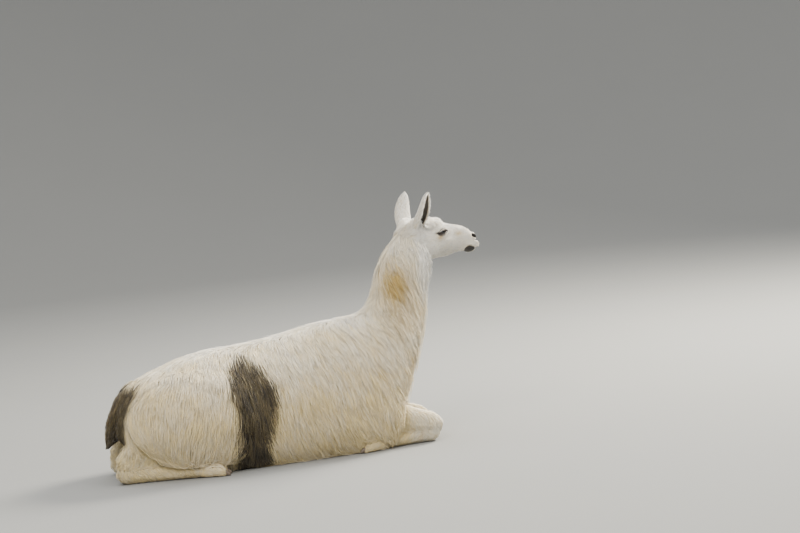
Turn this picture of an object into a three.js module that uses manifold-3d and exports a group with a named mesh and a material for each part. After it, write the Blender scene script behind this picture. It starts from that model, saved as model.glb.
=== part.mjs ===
// A llama at rest in the kush: lying on its chest with all four legs folded under it, head up, at life size.
// Millimetres. +X runs from tail to nose, +Y to the animal's left, +Z up, and the floor is z = 0.
// Sizes are written in the chest frame, whose origin is on the floor under the breastbone. The last
// lines move the whole animal so that the origin is the middle of its footprint.
import * as THREE from "three";
import { mergeVertices } from "three/addons/utils/BufferGeometryUtils.js";
import Module from "manifold-3d";

const wasm = await Module();
wasm.setup();
const { Manifold, Mesh: SolidMesh } = wasm;

// ---------------------------------------------------------------- driving sizes
const GAP = 0.4; // air between touching nodes
const FINE = 0.05; // edges and steps finer than this are merged
const FOOTPRINT_X = 189; // from the chest frame to the middle of the footprint
const NECK_FROM = 9.6; // trunk station where the torso ends and the neck starts
const HEAD_AT = [291, 0, 798]; // middle of the back of the skull
const HEAD_PITCH = 4; // degrees, nose down
const HEAD_YAW = 14; // degrees, towards the animal's left
const EYE = { x: 138, y: 44.5, z: 28, r: 21.5, back: 9, lids: [31, 25, 25.5], wide: 21.5, high: 11.5, up: 0.5 };
const EAR = { x: 27, y: 42, z: 38, length: 176, lean: 23, forward: 11.5, open: 48, half: 30, wall: 5 };
const TOE = { length: 92, half: 21, apart: 21 };

const CORE = 0.5; // how deep the core lies in the coat, as a part of the coat's depth
const ROOT = 12; // how far a lock's root is sunk below the core
const LOCKS = {
  torso: { length: 215, half: 67, thick: 17, rows: 126, apart: 124 },
  rump: { length: 120, half: 46, thick: 12, rows: 12, apart: 78 },
  chest: { length: 150, half: 52, thick: 13, rows: 50, apart: 96 },
  neck: { length: 165, half: 52, thick: 12, rows: 106, apart: 104 },
  haunch: { length: 200, half: 64, thick: 15, rows: 124, apart: 124 },
  tail: { length: 92, half: 32, thick: 11, rows: 56, apart: 64 },
  crown: { length: 70, half: 21, thick: 9, rows: 40, apart: 38 },
};
const SEED = 12;

// Trunk stations, buttocks to poll: point on the back, point on the underside (x, z), half width, coat depth.
const TRUNK = [
  { back: [-905, 240], under: [-897, 120], half: 70, coat: 26 },
  { back: [-868, 326], under: [-868, 20], half: 148, coat: 38 },
  { back: [-790, 390], under: [-775, -50], half: 200, coat: 46 },
  { back: [-670, 442], under: [-645, -60], half: 232, coat: 50 },
  { back: [-550, 466], under: [-520, -60], half: 248, coat: 54 },
  { back: [-410, 471], under: [-380, -60], half: 256, coat: 54 },
  { back: [-250, 492], under: [-210, -60], half: 258, coat: 54 },
  { back: [-100, 518], under: [-40, -60], half: 248, coat: 54 },
  { back: [30, 529], under: [130, -60], half: 222, coat: 54 },
  { back: [92, 551], under: [206, 118], half: 190, coat: 52 },
  { back: [112, 584], under: [302, 345], half: 156, coat: 48 },
  { back: [127, 624], under: [364, 486], half: 128, coat: 46 },
  { back: [142, 674], under: [383, 594], half: 114, coat: 44 },
  { back: [166, 732], under: [400, 652], half: 106, coat: 42 },
  { back: [202, 784], under: [404, 690], half: 92, coat: 36 },
  { back: [250, 826], under: [392, 716], half: 74, coat: 26 },
  { back: [300, 850], under: [388, 744], half: 54, coat: 18 },
];

// Head stations along its own axis, poll to nose: x, top, bottom, half width, fur depth.
const HEAD = [
  { x: -24, top: 44, bottom: -42, half: 42, coat: 8 },
  { x: 0, top: 62, bottom: -68, half: 58, coat: 10 },
  { x: 36, top: 72, bottom: -86, half: 67, coat: 10 },
  { x: 72, top: 77, bottom: -90, half: 71, coat: 10 },
  { x: 108, top: 79, bottom: -86, half: 73, coat: 9 },
  { x: 139, top: 74, bottom: -79, half: 69, coat: 8 },
  { x: 168, top: 66, bottom: -75, half: 58, coat: 6 },
  { x: 196, top: 58, bottom: -69, half: 47, coat: 5 },
  { x: 229, top: 52, bottom: -60, half: 41, coat: 4 },
  { x: 257, top: 46, bottom: -58, half: 38, coat: 4 },
  { x: 279, top: 34, bottom: -64, half: 37, coat: 3 },
  { x: 294, top: 22, bottom: -63, half: 36, coat: 3 },
  { x: 307, top: 14, bottom: -58, half: 32, coat: 3 },
  { x: 318, top: 3, bottom: -51, half: 26, coat: 2 },
  { x: 326, top: -10, bottom: -45, half: 18, coat: 2 },
];

// Limb stations of the left side: centre x, y, z, half height, half width. The right side mirrors them.
const HAUNCH = [
  [-868, 112, 250, 42, 30],
  [-828, 138, 236, 118, 74],
  [-745, 158, 214, 164, 106],
  [-640, 170, 192, 176, 116],
  [-540, 178, 168, 152, 104],
  [-466, 184, 150, 112, 78],
  [-424, 188, 140, 50, 36],
];
const FOREARM = [
  [-40, 128, 190, 34, 30],
  [0, 126, 176, 66, 56],
  [80, 120, 140, 66, 56],
  [170, 113, 110, 56, 50],
  [250, 107, 86, 48, 46],
  [300, 104, 68, 46, 46],
  [332, 103, 56, 26, 28],
];
const FORE_CANNON = [
  [322, 103, 40, 22, 26],
  [296, 104, 38, 38, 40],
  [230, 110, 33, 33, 33],
  [150, 124, 31, 31, 30],
  [90, 138, 32, 33, 33],
];
const SHANK = [
  [-440, 176, 120, 40, 34],
  [-490, 172, 118, 74, 58],
  [-600, 160, 108, 72, 54],
  [-740, 145, 100, 56, 44],
  [-850, 133, 96, 46, 38],
  [-915, 127, 92, 46, 36],
  [-950, 125, 84, 24, 22],
];
const HIND_CANNON = [
  [-958, 126, 50, 20, 22],
  [-930, 127, 44, 42, 36],
  [-860, 138, 36, 36, 32],
  [-740, 172, 32, 32, 30],
  [-640, 202, 33, 34, 34],
];
const TAIL = [
  [-788, 0, 322, 26, 34],
  [-832, 0, 326, 32, 44],
  [-868, 0, 304, 34, 54],
  [-901, 0, 264, 34, 58],
  [-931, 0, 218, 32, 56],
  [-955, 0, 174, 26, 46],
  [-970, 0, 140, 13, 24],
];

const WHITE = { color: 0xd9d4c4, roughness: 0.9, metalness: 0 };
const BROWN = { color: 0x4a3f33, roughness: 0.9, metalness: 0 };
const DARK = { color: 0x1a1613, roughness: 0.15, metalness: 0 };
const HORN = { color: 0x3a342d, roughness: 0.5, metalness: 0 };

const vec = (x, y, z) => new THREE.Vector3(x, y, z);

// Repeatable random numbers from 0 to 1.
function randomFrom(seed) {
  let state = seed;
  return () => {
    state = (state + 0x6d2b79f5) | 0;
    let t = Math.imul(state ^ (state >>> 15), 1 | state);
    t = (t + Math.imul(t ^ (t >>> 7), 61 | t)) ^ t;
    return ((t ^ (t >>> 14)) >>> 0) / 4294967296;
  };
}

// ---------------------------------------------------------------- solids
// A closed geometry as a solid, turned to face out where it came out inside out.
function solidOf(geometry) {
  geometry.deleteAttribute("normal");
  geometry.deleteAttribute("uv");
  const merged = mergeVertices(geometry, 1e-4);
  const triVerts = new Uint32Array(merged.index.array);
  const build = () =>
    new Manifold(new SolidMesh({ numProp: 3, vertProperties: merged.attributes.position.array, triVerts }));
  const made = build();
  if (made.volume() > 0) return made;
  for (let i = 0; i < triVerts.length; i += 3) [triVerts[i + 1], triVerts[i + 2]] = [triVerts[i + 2], triVerts[i + 1]];
  return build();
}

const join = (...solids) => Manifold.union(solids.flat());

// The largest closed body of a solid, without the loose scraps that a cut can leave.
const largest = (solid) => solid.decompose().reduce((a, b) => (b.volume() > a.volume() ? b : a));

const onFloor = (solid) => solid.trimByPlane([0, 0, 1], 0);

function meshOf(name, solid, look) {
  const { numProp, vertProperties, triVerts } = largest(solid.simplify(FINE)).getMesh();
  const position = new Float32Array((vertProperties.length / numProp) * 3);
  for (let i = 0; i < position.length / 3; i++) position.set(vertProperties.subarray(i * numProp, i * numProp + 3), 3 * i);
  const geometry = new THREE.BufferGeometry();
  geometry.setAttribute("position", new THREE.BufferAttribute(position, 3));
  geometry.setIndex(new THREE.BufferAttribute(triVerts, 1));
  geometry.computeVertexNormals();
  const mesh = new THREE.Mesh(geometry, new THREE.MeshStandardMaterial(look));
  mesh.name = name;
  return mesh;
}

// ---------------------------------------------------------------- lofts
// A body of changing oval section along a row of stations. Each station has a centre, the half axes
// up and side as vectors, and the depth of its coat. Stations are joined by Catmull-Rom curves.
class Loft {
  constructor(stations, { pear = 0, power = 2 } = {}) {
    Object.assign(this, { count: stations.length, pear, power });
    const curve = (key) => new THREE.CatmullRomCurve3(stations.map((s) => s[key]), false, "catmullrom", 0.5);
    this.centre = curve("centre");
    this.up = curve("up");
    this.side = curve("side");
    this.coat = curve("coat");
  }

  // The point at station u (0 to count - 1), v turns round from the back line (0) over the right
  // side to the underside (0.5), and depth in millimetres inside the outline of the coat's tips.
  point(u, v, depth = 0) {
    const t = Math.min(Math.max(u / (this.count - 1), 0), 1);
    const [c, up, side] = [this.centre.getPoint(t), this.up.getPoint(t), this.side.getPoint(t)];
    const [cos, sin] = [Math.cos(2 * Math.PI * v), Math.sin(2 * Math.PI * v)];
    const round = (x) => Math.sign(x) * Math.abs(x) ** (2 / this.power);
    const [h, w] = [up.length(), side.length()];
    c.addScaledVector(up, (round(cos) * Math.max(h - depth, 1)) / h);
    c.addScaledVector(side, (-round(sin) * Math.max(w - depth, 1) * (1 - this.pear * cos)) / w);
    return c;
  }

  coatAt(u, v) {
    const fine = 0.3 + 0.7 * Math.min(1, 2.2 * Math.abs(Math.sin(Math.PI * v))); // short along the back line
    return this.coat.getPoint(Math.min(Math.max(u / (this.count - 1), 0), 1)).x * fine;
  }

  // The closed solid between stations from and to. depth(u, v) is how far inside the outline it lies,
  // and grow makes it larger all round, for cutting room into a neighbour.
  solid(from, to, rings, around, grow = 0, depth = () => 0) {
    const position = [];
    const index = [];
    const t = (u) => u / (this.count - 1);
    const ends = [[from, 1], [to, -1]].map(([u, k]) => this.centre.getTangent(t(u)).multiplyScalar(-k * grow));
    for (let i = 0; i <= rings; i++)
      for (let j = 0; j < around; j++) {
        const [u, v] = [from + ((to - from) * i) / rings, j / around];
        const p = this.point(u, v, depth(u, v) - grow);
        if (i === 0) p.add(ends[0]);
        if (i === rings) p.add(ends[1]);
        position.push(...p.toArray());
      }
    const at = (i, j) => i * around + (j % around);
    for (let i = 0; i < rings; i++)
      for (let j = 0; j < around; j++)
        index.push(at(i, j), at(i + 1, j), at(i + 1, j + 1), at(i, j), at(i + 1, j + 1), at(i, j + 1));
    for (const [ring, u] of [[0, from], [rings, to]]) {
      const pole = position.length / 3;
      const [a, b] = [this.point(u, 0, depth(u, 0)), this.point(u, 0.5, depth(u, 0.5))];
      position.push(...a.add(b).multiplyScalar(0.5).add(ends[ring ? 1 : 0]).toArray());
      for (let j = 0; j < around; j++)
        index.push(...(ring ? [pole, at(ring, j + 1), at(ring, j)] : [pole, at(0, j), at(0, j + 1)]));
    }
    const geometry = new THREE.BufferGeometry();
    geometry.setAttribute("position", new THREE.Float32BufferAttribute(position, 3));
    geometry.setIndex(index);
    return solidOf(geometry);
  }
}


// ---------------------------------------------------------------- locks
// Moves (u, v) over the loft's surface by a distance in millimetres, along a world vector laid onto the surface.
function slide(loft, [u, v], heading, distance) {
  const at = loft.point(u, v);
  const du = loft.point(u + 0.02, v).sub(loft.point(u - 0.02, v)).divideScalar(0.04);
  const dv = loft.point(u, v + 0.004).sub(loft.point(u, v - 0.004)).divideScalar(0.008);
  const out = dv.clone().cross(du).normalize();
  const along = heading.clone().addScaledVector(out, -heading.dot(out)).normalize();
  const [a, b, c] = [du.dot(du), du.dot(dv), dv.dot(dv)];
  const [p, q] = [along.dot(du), along.dot(dv)];
  const det = a * c - b * b || 1;
  const [mu, mv] = [(p * c - q * b) / det, (q * a - p * b) / det];
  return { uv: [u + mu * distance, v + mv * distance], at, out, along };
}

// The convex solid round some points, swollen from its middle until each face has moved out by grow.
function grownHull(points, grow) {
  const body = Manifold.hull(points.map((p) => p.toArray()));
  if (!grow) return body;
  const middle = points.reduce((sum, p) => sum.add(p), vec(0, 0, 0)).divideScalar(points.length);
  const { numProp, vertProperties, triVerts } = body.getMesh();
  const corner = (i) => vec(...vertProperties.subarray(triVerts[i] * numProp, triVerts[i] * numProp + 3));
  let near = Infinity;
  for (let i = 0; i < triVerts.length; i += 3) {
    const face = new THREE.Plane().setFromCoplanarPoints(corner(i), corner(i + 1), corner(i + 2));
    if (face.normal.lengthSq() > 0.5) near = Math.min(near, Math.abs(face.distanceToPoint(middle)));
  }
  const k = 1 + grow / Math.max(near, 1);
  return Manifold.hull(points.map((p) => p.clone().sub(middle).multiplyScalar(k).add(middle).toArray()));
}

// A lock of fleece: a flat, tapered tuft of four sides that starts under the core, bends with the surface
// along the lie of the coat and ends at the coat's outline. grow makes it larger all round.
function lock(loft, start, { length, half, thick }, lie, random, grow = 0) {
  const rings = [
    { s: 0, wide: 0.72, high: 0.8, depth: CORE, sunk: ROOT },
    { s: 0.42, wide: 1, high: 1, depth: 0.38, sunk: 0 },
    { s: 0.78, wide: 0.7, high: 0.75, depth: 0.1, sunk: 0 },
    { s: 1, wide: 0, high: 0, depth: 0, sunk: 0 },
  ];
  const size = 0.85 + 0.3 * random();
  const [swing, phase] = [0.16 * (random() - 0.5), 2 * Math.PI * random()];
  const points = [];
  let uv = start;
  let gone = 0;
  for (const { s, wide, high, depth, sunk } of rings) {
    const turn = swing + 0.14 * Math.sin(phase + 4 * s);
    const first = slide(loft, uv, lie(uv), 0);
    uv = slide(loft, uv, first.along.applyAxisAngle(first.out, turn), s * length * size - gone).uv;
    gone = s * length * size;
    const deep = loft.coatAt(...uv) * depth + sunk;
    const { along, out } = slide(loft, uv, lie(uv), 0);
    if (!high) {
      points.push([loft.point(...uv, deep)]);
      continue;
    }
    const b = (thick / 2) * high;
    const edge = (side) => slide(loft, uv, along.clone().applyAxisAngle(out, (side * Math.PI) / 2), half * wide * size).uv;
    points.push([[edge(1), 0], [uv, b], [edge(-1), 0], [uv, -b]].map(([at, lift]) => loft.point(...at, deep - lift)));
  }
  // One convex piece from each ring to the next, so that a lock in a sharp bend never cuts into itself.
  const span = (i) => grownHull([...points[i], ...points[i + 1]], grow);
  return join([...points.keys()].slice(0, -1).map(span));
}

// Roots of locks on a loft: rows along it, staggered, evenly spaced round it, with a little scatter.
function roots(loft, [from, to], { rows, apart }, random, keep) {
  const found = [];
  const length = (u0, u1) => loft.centre.getPoint(u1 / (loft.count - 1)).distanceTo(loft.centre.getPoint(u0 / (loft.count - 1)));
  let run = rows / 2;
  let row = 0;
  for (let u = from; u < to; u += 0.02) {
    run += length(u, u + 0.02);
    if (run < rows) continue;
    run -= rows;
    row += 1;
    let round = 0;
    for (let i = 0; i < 64; i++) round += loft.point(u, i / 64).distanceTo(loft.point(u, (i + 1) / 64));
    const count = Math.max(3, Math.round(round / apart));
    for (let i = 0; i < count; i++) {
      const place = [u + 0.12 * (random() - 0.5), (i + (row % 2 ? 0.5 : 0) + 0.3 * (random() - 0.5)) / count];
      if (keep(loft.point(...place), place)) found.push(place);
    }
  }
  return found;
}

// ---------------------------------------------------------------- body lofts
function trunkLoft() {
  const stations = TRUNK.map(({ back, under, half, coat }) => {
    const [top, bottom] = [vec(back[0], 0, back[1]), vec(under[0], 0, under[1])];
    return {
      centre: top.clone().add(bottom).multiplyScalar(0.5),
      up: top.clone().sub(bottom).multiplyScalar(0.5),
      side: vec(0, half, 0),
      coat: vec(coat, 0, 0),
    };
  });
  return new Loft(stations, { pear: 0.08, power: 2.15 });
}

const headFrame = new THREE.Matrix4()
  .makeTranslation(...HEAD_AT)
  .multiply(new THREE.Matrix4().makeRotationZ(THREE.MathUtils.degToRad(HEAD_YAW)))
  .multiply(new THREE.Matrix4().makeRotationY(THREE.MathUtils.degToRad(HEAD_PITCH)));

function headLoft() {
  const turn = new THREE.Matrix4().extractRotation(headFrame);
  const stations = HEAD.map(({ x, top, bottom, half, coat }) => ({
    centre: vec(x, 0, (top + bottom) / 2).applyMatrix4(headFrame),
    up: vec(0, 0, (top - bottom) / 2).applyMatrix4(turn),
    side: vec(0, half, 0).applyMatrix4(turn),
    coat: vec(coat, 0, 0),
  }));
  return new Loft(stations, { pear: 0.04, power: 2.2 });
}

// A limb's loft. Its sections stand across the line through its centres. mirror is 1 for the left side, -1 for the right.
function limbLoft(rows, mirror, coat = 0) {
  const centres = rows.map(([x, y, z]) => vec(x, mirror * y, z));
  const stations = rows.map((row, i) => {
    const along = centres[Math.min(i + 1, rows.length - 1)].clone().sub(centres[Math.max(i - 1, 0)]).normalize();
    const side = vec(0, 0, 1).cross(along).normalize();
    const up = along.clone().cross(side).normalize();
    return {
      centre: centres[i],
      up: up.multiplyScalar(row[3]),
      side: side.multiplyScalar(row[4]),
      coat: vec(coat, 0, 0),
    };
  });
  return new Loft(stations, { power: 2.2 });
}

const whole = (rows, mirror, rings, around, grow = 0) =>
  limbLoft(rows, mirror).solid(0, rows.length - 1, rings, around, grow);

// ---------------------------------------------------------------- sub-parts
const trunk = trunkLoft();
const headBody = headLoft();
const LAST = TRUNK.length - 1;

const inCoat = (loft) => (u, v) => CORE * loft.coatAt(u, v);
const torsoCore = (grow = 0) => trunk.solid(0, NECK_FROM, 18, 22, grow, inCoat(trunk));
const neckCore = (grow = 0) => trunk.solid(NECK_FROM + 0.004, LAST, 11, 18, grow, inCoat(trunk));

// How far the fleece leans ahead as it falls, along the body and up the neck.
const LEAN = [[-900, -0.45], [-640, -0.2], [-400, 0.08], [-150, 0.25], [60, 0.5], [240, 0.5]];
function leanAt({ x, z }) {
  const i = Math.max(1, LEAN.findIndex(([at]) => at > x) + (x > LEAN[LEAN.length - 1][0] ? LEAN.length : 0));
  const [[x0, a0], [x1, a1]] = [LEAN[i - 1], LEAN[Math.min(i, LEAN.length - 1)]];
  const lean = x1 > x0 ? a0 + ((a1 - a0) * Math.min(Math.max(x - x0, 0), x1 - x0)) / (x1 - x0) : a0;
  return lean * (1 - 0.4 * Math.min(Math.max((z - 480) / 150, 0), 1));
}

// The fleece falls outwards and down, and leans ahead at the shoulder and back at the rump.
const fall = (loft) => (uv) => {
  const at = loft.point(...uv);
  return vec(leanAt(at), 0.8 * (Math.sign(at.y) || 1), -1);
};
const headCore = (grow = 0) => headBody.solid(0, HEAD.length - 1, 22, 20, grow);

const eyeCentre = (mirror) => [EYE.x, mirror * EYE.y, EYE.z];
const inHead = (geometry) => solidOf(geometry.applyMatrix4(headFrame));

// A ball or egg round the eye's middle with its pole facing outwards.
function eyeEgg(mirror, radii, grow = 0, around = 14, rings = 8) {
  const egg = new THREE.SphereGeometry(1, around, rings).rotateX(Math.PI / 2);
  return inHead(egg.scale(...radii.map((r) => r + grow)).translate(...eyeCentre(mirror)));
}

// The eyeball in front of a flat back, which the socket follows.
function eyeball(mirror, grow = 0) {
  const back = new THREE.BoxGeometry(90, 60, 90).translate(EYE.x, mirror * (EYE.y - EYE.back - grow - 30), EYE.z);
  return eyeEgg(mirror, [EYE.r, EYE.r, EYE.r], grow).subtract(inHead(back));
}

// The ear is a leaf rolled round its own axis: C-shaped sections, wide open at the middle, closing to the tip.
function ear(mirror, grow = 0) {
  const [rings, arc] = [9, 6];
  const out = THREE.MathUtils.degToRad(EAR.lean);
  const ahead = THREE.MathUtils.degToRad(EAR.forward);
  const axis = vec(Math.tan(ahead), mirror * Math.tan(out), 1).normalize();
  const facing = THREE.MathUtils.degToRad(EAR.open);
  const open = vec(Math.cos(facing), mirror * Math.sin(facing), 0);
  open.addScaledVector(axis, -open.dot(axis)).normalize();
  const across = axis.clone().cross(open);
  const position = [];
  for (let i = 0; i <= rings; i++) {
    const s = i / rings;
    const curve = 26 * Math.sin(Math.PI * s) - 2 * s; // the tips turn in towards each other
    const centre = vec(EAR.x, mirror * (EAR.y + curve), EAR.z).addScaledVector(axis, EAR.length * s);
    const full = 0.74 + 0.26 * Math.sin((Math.PI / 2) * Math.min(1, s / 0.6));
    const half = EAR.half * full * Math.sqrt(1 - 0.985 * Math.max(0, (s - 0.55) / 0.45) ** 3) + grow;
    const wall = EAR.wall * (1 - 0.5 * s) + 2 * grow;
    const sweep = (Math.PI / 180) * (128 - 46 * s);
    for (let k = 0; k < 2 * (arc + 1); k++) {
      const outer = k <= arc;
      const a = sweep * ((2 * (outer ? k : 2 * arc + 1 - k)) / arc - 1);
      const r = outer ? half : Math.max(half - wall, 0.4);
      const p = centre.clone().addScaledVector(open, -0.8 * r * Math.cos(a)).addScaledVector(across, r * Math.sin(a));
      position.push(...p.applyMatrix4(headFrame).toArray());
    }
  }
  const ring = 2 * (arc + 1);
  const at = (i, j) => i * ring + (j % ring);
  const index = [];
  for (let i = 0; i < rings; i++)
    for (let j = 0; j < ring; j++)
      index.push(at(i, j), at(i + 1, j), at(i + 1, j + 1), at(i, j), at(i + 1, j + 1), at(i, j + 1));
  for (let k = 0; k < arc; k++) {
    const [a, b, c, d] = [k, k + 1, ring - 2 - k, ring - 1 - k];
    index.push(at(0, a), at(0, b), at(0, c), at(0, a), at(0, c), at(0, d));
    index.push(at(rings, a), at(rings, c), at(rings, b), at(rings, a), at(rings, d), at(rings, c));
  }
  const geometry = new THREE.BufferGeometry();
  geometry.setAttribute("position", new THREE.Float32BufferAttribute(position, 3));
  geometry.setIndex(index);
  return solidOf(geometry);
}

// Almond-shaped opening between the lids, as a prism that runs out of the head.
function lidOpening(mirror) {
  const shape = new THREE.Shape();
  shape.moveTo(-EYE.wide, -4);
  shape.quadraticCurveTo(-2, EYE.high * 1.9, EYE.wide, 2);
  shape.quadraticCurveTo(0, -EYE.high * 1.7, -EYE.wide, -4);
  const prism = new THREE.ExtrudeGeometry(shape, { depth: 40, bevelEnabled: false, curveSegments: 5 });
  prism.rotateX(Math.PI / 2).translate(EYE.x + 1, -EYE.y - 7, EYE.z + EYE.up);
  return inHead(prism.scale(1, -mirror, 1));
}

// A nostril is a slanting slit, and the mouth's line is a wedge cut into the muzzle.
function nostril(mirror) {
  const cut = new THREE.SphereGeometry(1, 8, 6).scale(11, 7, 4.6);
  cut.rotateY(-0.95).rotateZ(0.75).translate(311, 22, 1);
  return inHead(cut.scale(1, mirror, 1));
}

function mouthLine() {
  const path = new THREE.Shape();
  path.moveTo(345, -72);
  path.lineTo(345, -43);
  path.quadraticCurveTo(300, -40.5, 262, -36.5);
  path.quadraticCurveTo(292, -42, 302, -46);
  path.quadraticCurveTo(311, -53, 303, -72);
  const cut = new THREE.ExtrudeGeometry(path, { depth: 120, bevelEnabled: false, curveSegments: 3 });
  return inHead(cut.rotateX(Math.PI / 2).translate(0, 60, 0));
}

// The groove that parts the upper lip under the nose.
function lipGroove() {
  const cut = new THREE.CylinderGeometry(2.6, 2.6, 34, 3).rotateY(Math.PI / 2);
  return inHead(cut.rotateY(-0.55).translate(325, 0, -20));
}

function head() {
  const sides = [1, -1];
  const lids = sides.map((m) => eyeEgg(m, EYE.lids, 0, 12, 8));
  const cuts = sides.flatMap((m) => [eyeball(m, GAP), lidOpening(m), nostril(m)]);
  return join(headCore(), lids, made(crownLocks)).subtract(join(cuts, mouthLine(), lipGroove()));
}

// A cloven foot: two toes side by side from the fetlock, on one pad.
function foot(rows, mirror, grow = 0) {
  const last = rows[rows.length - 1];
  const before = rows[rows.length - 2];
  const heel = vec(last[0], mirror * last[1], last[2]);
  const along = heel.clone().sub(vec(before[0], mirror * before[1], before[2])).setZ(0).normalize();
  const side = vec(0, 0, 1).cross(along);
  const toes = [1, -1].map((k) => {
    const stations = [0, 0.25, 0.6, 0.88, 1].map((s, i) => {
      const high = [30, 30, 26, 19, 9][i];
      const half = [0.95, 1.05, 1, 0.8, 0.4][i] * TOE.half;
      return {
        centre: heel.clone().addScaledVector(along, 2 + TOE.length * s).addScaledVector(side, k * TOE.apart * (0.55 + 0.45 * s)).setZ(high),
        up: vec(0, 0, high),
        side: side.clone().multiplyScalar(half),
        coat: vec(0, 0, 0),
      };
    });
    return new Loft(stations, { power: 2.3 }).solid(0, 4, 5, 8, grow);
  });
  return join(toes);
}

// The nail at the tip of a toe: a short curved horn.
function nail(rows, mirror, k, grow = 0) {
  const last = rows[rows.length - 1];
  const before = rows[rows.length - 2];
  const heel = vec(last[0], mirror * last[1], last[2]);
  const along = heel.clone().sub(vec(before[0], mirror * before[1], before[2])).setZ(0).normalize();
  const side = vec(0, 0, 1).cross(along);
  const stations = [0, 0.5, 1].map((s, i) => ({
    centre: heel.clone().addScaledVector(along, TOE.length - 12 + 30 * s).addScaledVector(side, k * TOE.apart).setZ([17, 13, 6][i]),
    up: vec(0, 0, [13, 11, 5][i]),
    side: side.clone().multiplyScalar([12, 9.5, 3][i]),
    coat: vec(0, 0, 0),
  }));
  return new Loft(stations).solid(0, 2, 3, 6, grow);
}

// ---------------------------------------------------------------- fleece
const random = randomFrom(SEED);
const haunches = [1, -1].map((m) => limbLoft(HAUNCH, m, 44));
const tailBody = limbLoft(TAIL, 1, 26);

const inHaunch = ({ x, y, z }) => ((x + 650) / 225) ** 2 + ((Math.abs(y) - 150) / 110) ** 2 + ((z - 200) / 165) ** 2 < 1;
const inTrunk = ({ x, y, z }) => ((x + 420) / 560) ** 2 + (y / 236) ** 2 + ((z - 190) / 262) ** 2 < 1;

// The locks of one coat. Each is a function of how much it is grown, so that a neighbour can be cut by the same lock.
function fleece(loft, span, sizes, lie, keep) {
  const inside = (start) => {
    const tip = slide(loft, start, lie(start), 1.15 * sizes.length).uv[0];
    return tip > 0.05 && tip < loft.count - 1.05;
  };
  return roots(loft, span, sizes, random, keep).filter(inside).map((start) => {
    const seed = Math.floor(random() * 1e9);
    return (grow = 0) => lock(loft, start, sizes, lie, randomFrom(seed), grow);
  });
}

const offMiddle = (v) => Math.abs(v - Math.floor(v) - 0.5);
const torsoLocks = [
  ...fleece(trunk, [0.9, 9.2], LOCKS.torso, fall(trunk), (p) => p.z > 85 && !inHaunch(p)),
  ...fleece(trunk, [0.4, 0.6], LOCKS.rump, fall(trunk), (p) => p.z > 120 && !inHaunch(p)),
  ...fleece(trunk, [8.9, 9.58], LOCKS.chest, fall(trunk), (p, [, v]) => p.z > 110 && offMiddle(v) < 0.16),
];
const neckLocks = fleece(trunk, [9.75, 15.2], LOCKS.neck, fall(trunk), () => true);
const haunchLocks = haunches.flatMap((loft, i) =>
  fleece(loft, [0.8, 5.6], LOCKS.haunch, fall(loft), (p) => p.z > 90 && Math.abs(p.y) > 130 && !inTrunk(p)),
);
const tailLocks = fleece(tailBody, [0.9, 5.2], LOCKS.tail, () => vec(-0.5, 0, -1), () => true);
const crownLocks = fleece(headBody, [2.2, 4.6], LOCKS.crown, () => vec(1, 0, 0.1), (p, [, v]) => Math.abs(v - Math.round(v)) < 0.13);
const made = (locks, grow = 0) => locks.map((one) => one(grow));

// ---------------------------------------------------------------- assembly
const llama = new THREE.Group();
const add = (name, solid, look) => llama.add(meshOf(name, onFloor(solid), look));
const SIDES = [{ name: "left", m: 1 }, { name: "right", m: -1 }];

const hindLeg = (m, grow = 0) => join(whole(SHANK, m, 8, 8, grow), whole(HIND_CANNON, m, 6, 8, grow));
const foreLeg = (m, grow = 0) => join(whole(FOREARM, m, 8, 8, grow), whole(FORE_CANNON, m, 6, 8, grow));
// Room for a folded leg with its foot and nails in the body above it.
function legRoom(leg, rows, m) {
  return Manifold.hull([leg(m, GAP), foot(rows, m, GAP), nail(rows, m, 1, GAP), nail(rows, m, -1, GAP)]);
}

const haunch = (loft, grow = 0) => loft.solid(0, HAUNCH.length - 1, 9, 12, grow, inCoat(loft));
const headGrown = headCore(GAP);
const neckGrown = (grow) => join(neckCore(grow), made(neckLocks, grow));
const torsoWhole = (grow = 0) => join(torsoCore(grow), haunches.map((h) => haunch(h, grow)), made([...torsoLocks, ...haunchLocks], grow));
const rooms = join(SIDES.flatMap(({ m }) => [legRoom(hindLeg, HIND_CANNON, m), legRoom(foreLeg, FORE_CANNON, m)]));

add("head", head(), WHITE);
add("neck", neckGrown(0).subtract(headGrown), WHITE);
add("torso", torsoWhole().subtract(join(neckGrown(GAP), rooms)), WHITE);
add("tail", join(tailBody.solid(0, TAIL.length - 1, 8, 8, 0, inCoat(tailBody)), made(tailLocks)).subtract(torsoWhole(GAP)), BROWN);
for (const { name, m } of SIDES) {
  add("ear_" + name, ear(m).subtract(headGrown), WHITE);
  add("eye_" + name, eyeball(m), DARK);
  for (const [end, rows, leg] of [["hind", HIND_CANNON, hindLeg], ["fore", FORE_CANNON, foreLeg]]) {
    add(end + "_leg_" + name, leg(m), WHITE);
    add(end + "_foot_" + name, foot(rows, m).subtract(leg(m, GAP)), WHITE);
    for (const k of [1, -1])
      add(`${end}_nail_${name}_${k * m > 0 ? "outer" : "inner"}`, nail(rows, m, k).subtract(foot(rows, m, GAP)), HORN);
  }
}

llama.children.forEach((mesh) => mesh.position.setX(FOOTPRINT_X));
export default llama;
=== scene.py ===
"""A llama at rest with its legs folded under it, at life size, dressed for a display.

One skin replaces the solids of flesh, and solid tufts grow from it: long fleece on the body, neck and
tail, curls on the crown, and short hair on the face, ears, legs and feet. The eyes, lids, lashes and
nails are pieces of their own.

Metres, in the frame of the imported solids: +X runs from tail to nose, +Y to the animal's left and +Z up,
with the floor at z = 0. The body's sizes are written in the chest frame, whose origin is on the floor
under the breastbone, and every mesh is moved by FOOTPRINT when it is made.
"""

from __future__ import annotations

import logging
import math
from dataclasses import dataclass, field, replace
from enum import Enum
from typing import Callable, Iterable

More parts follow.
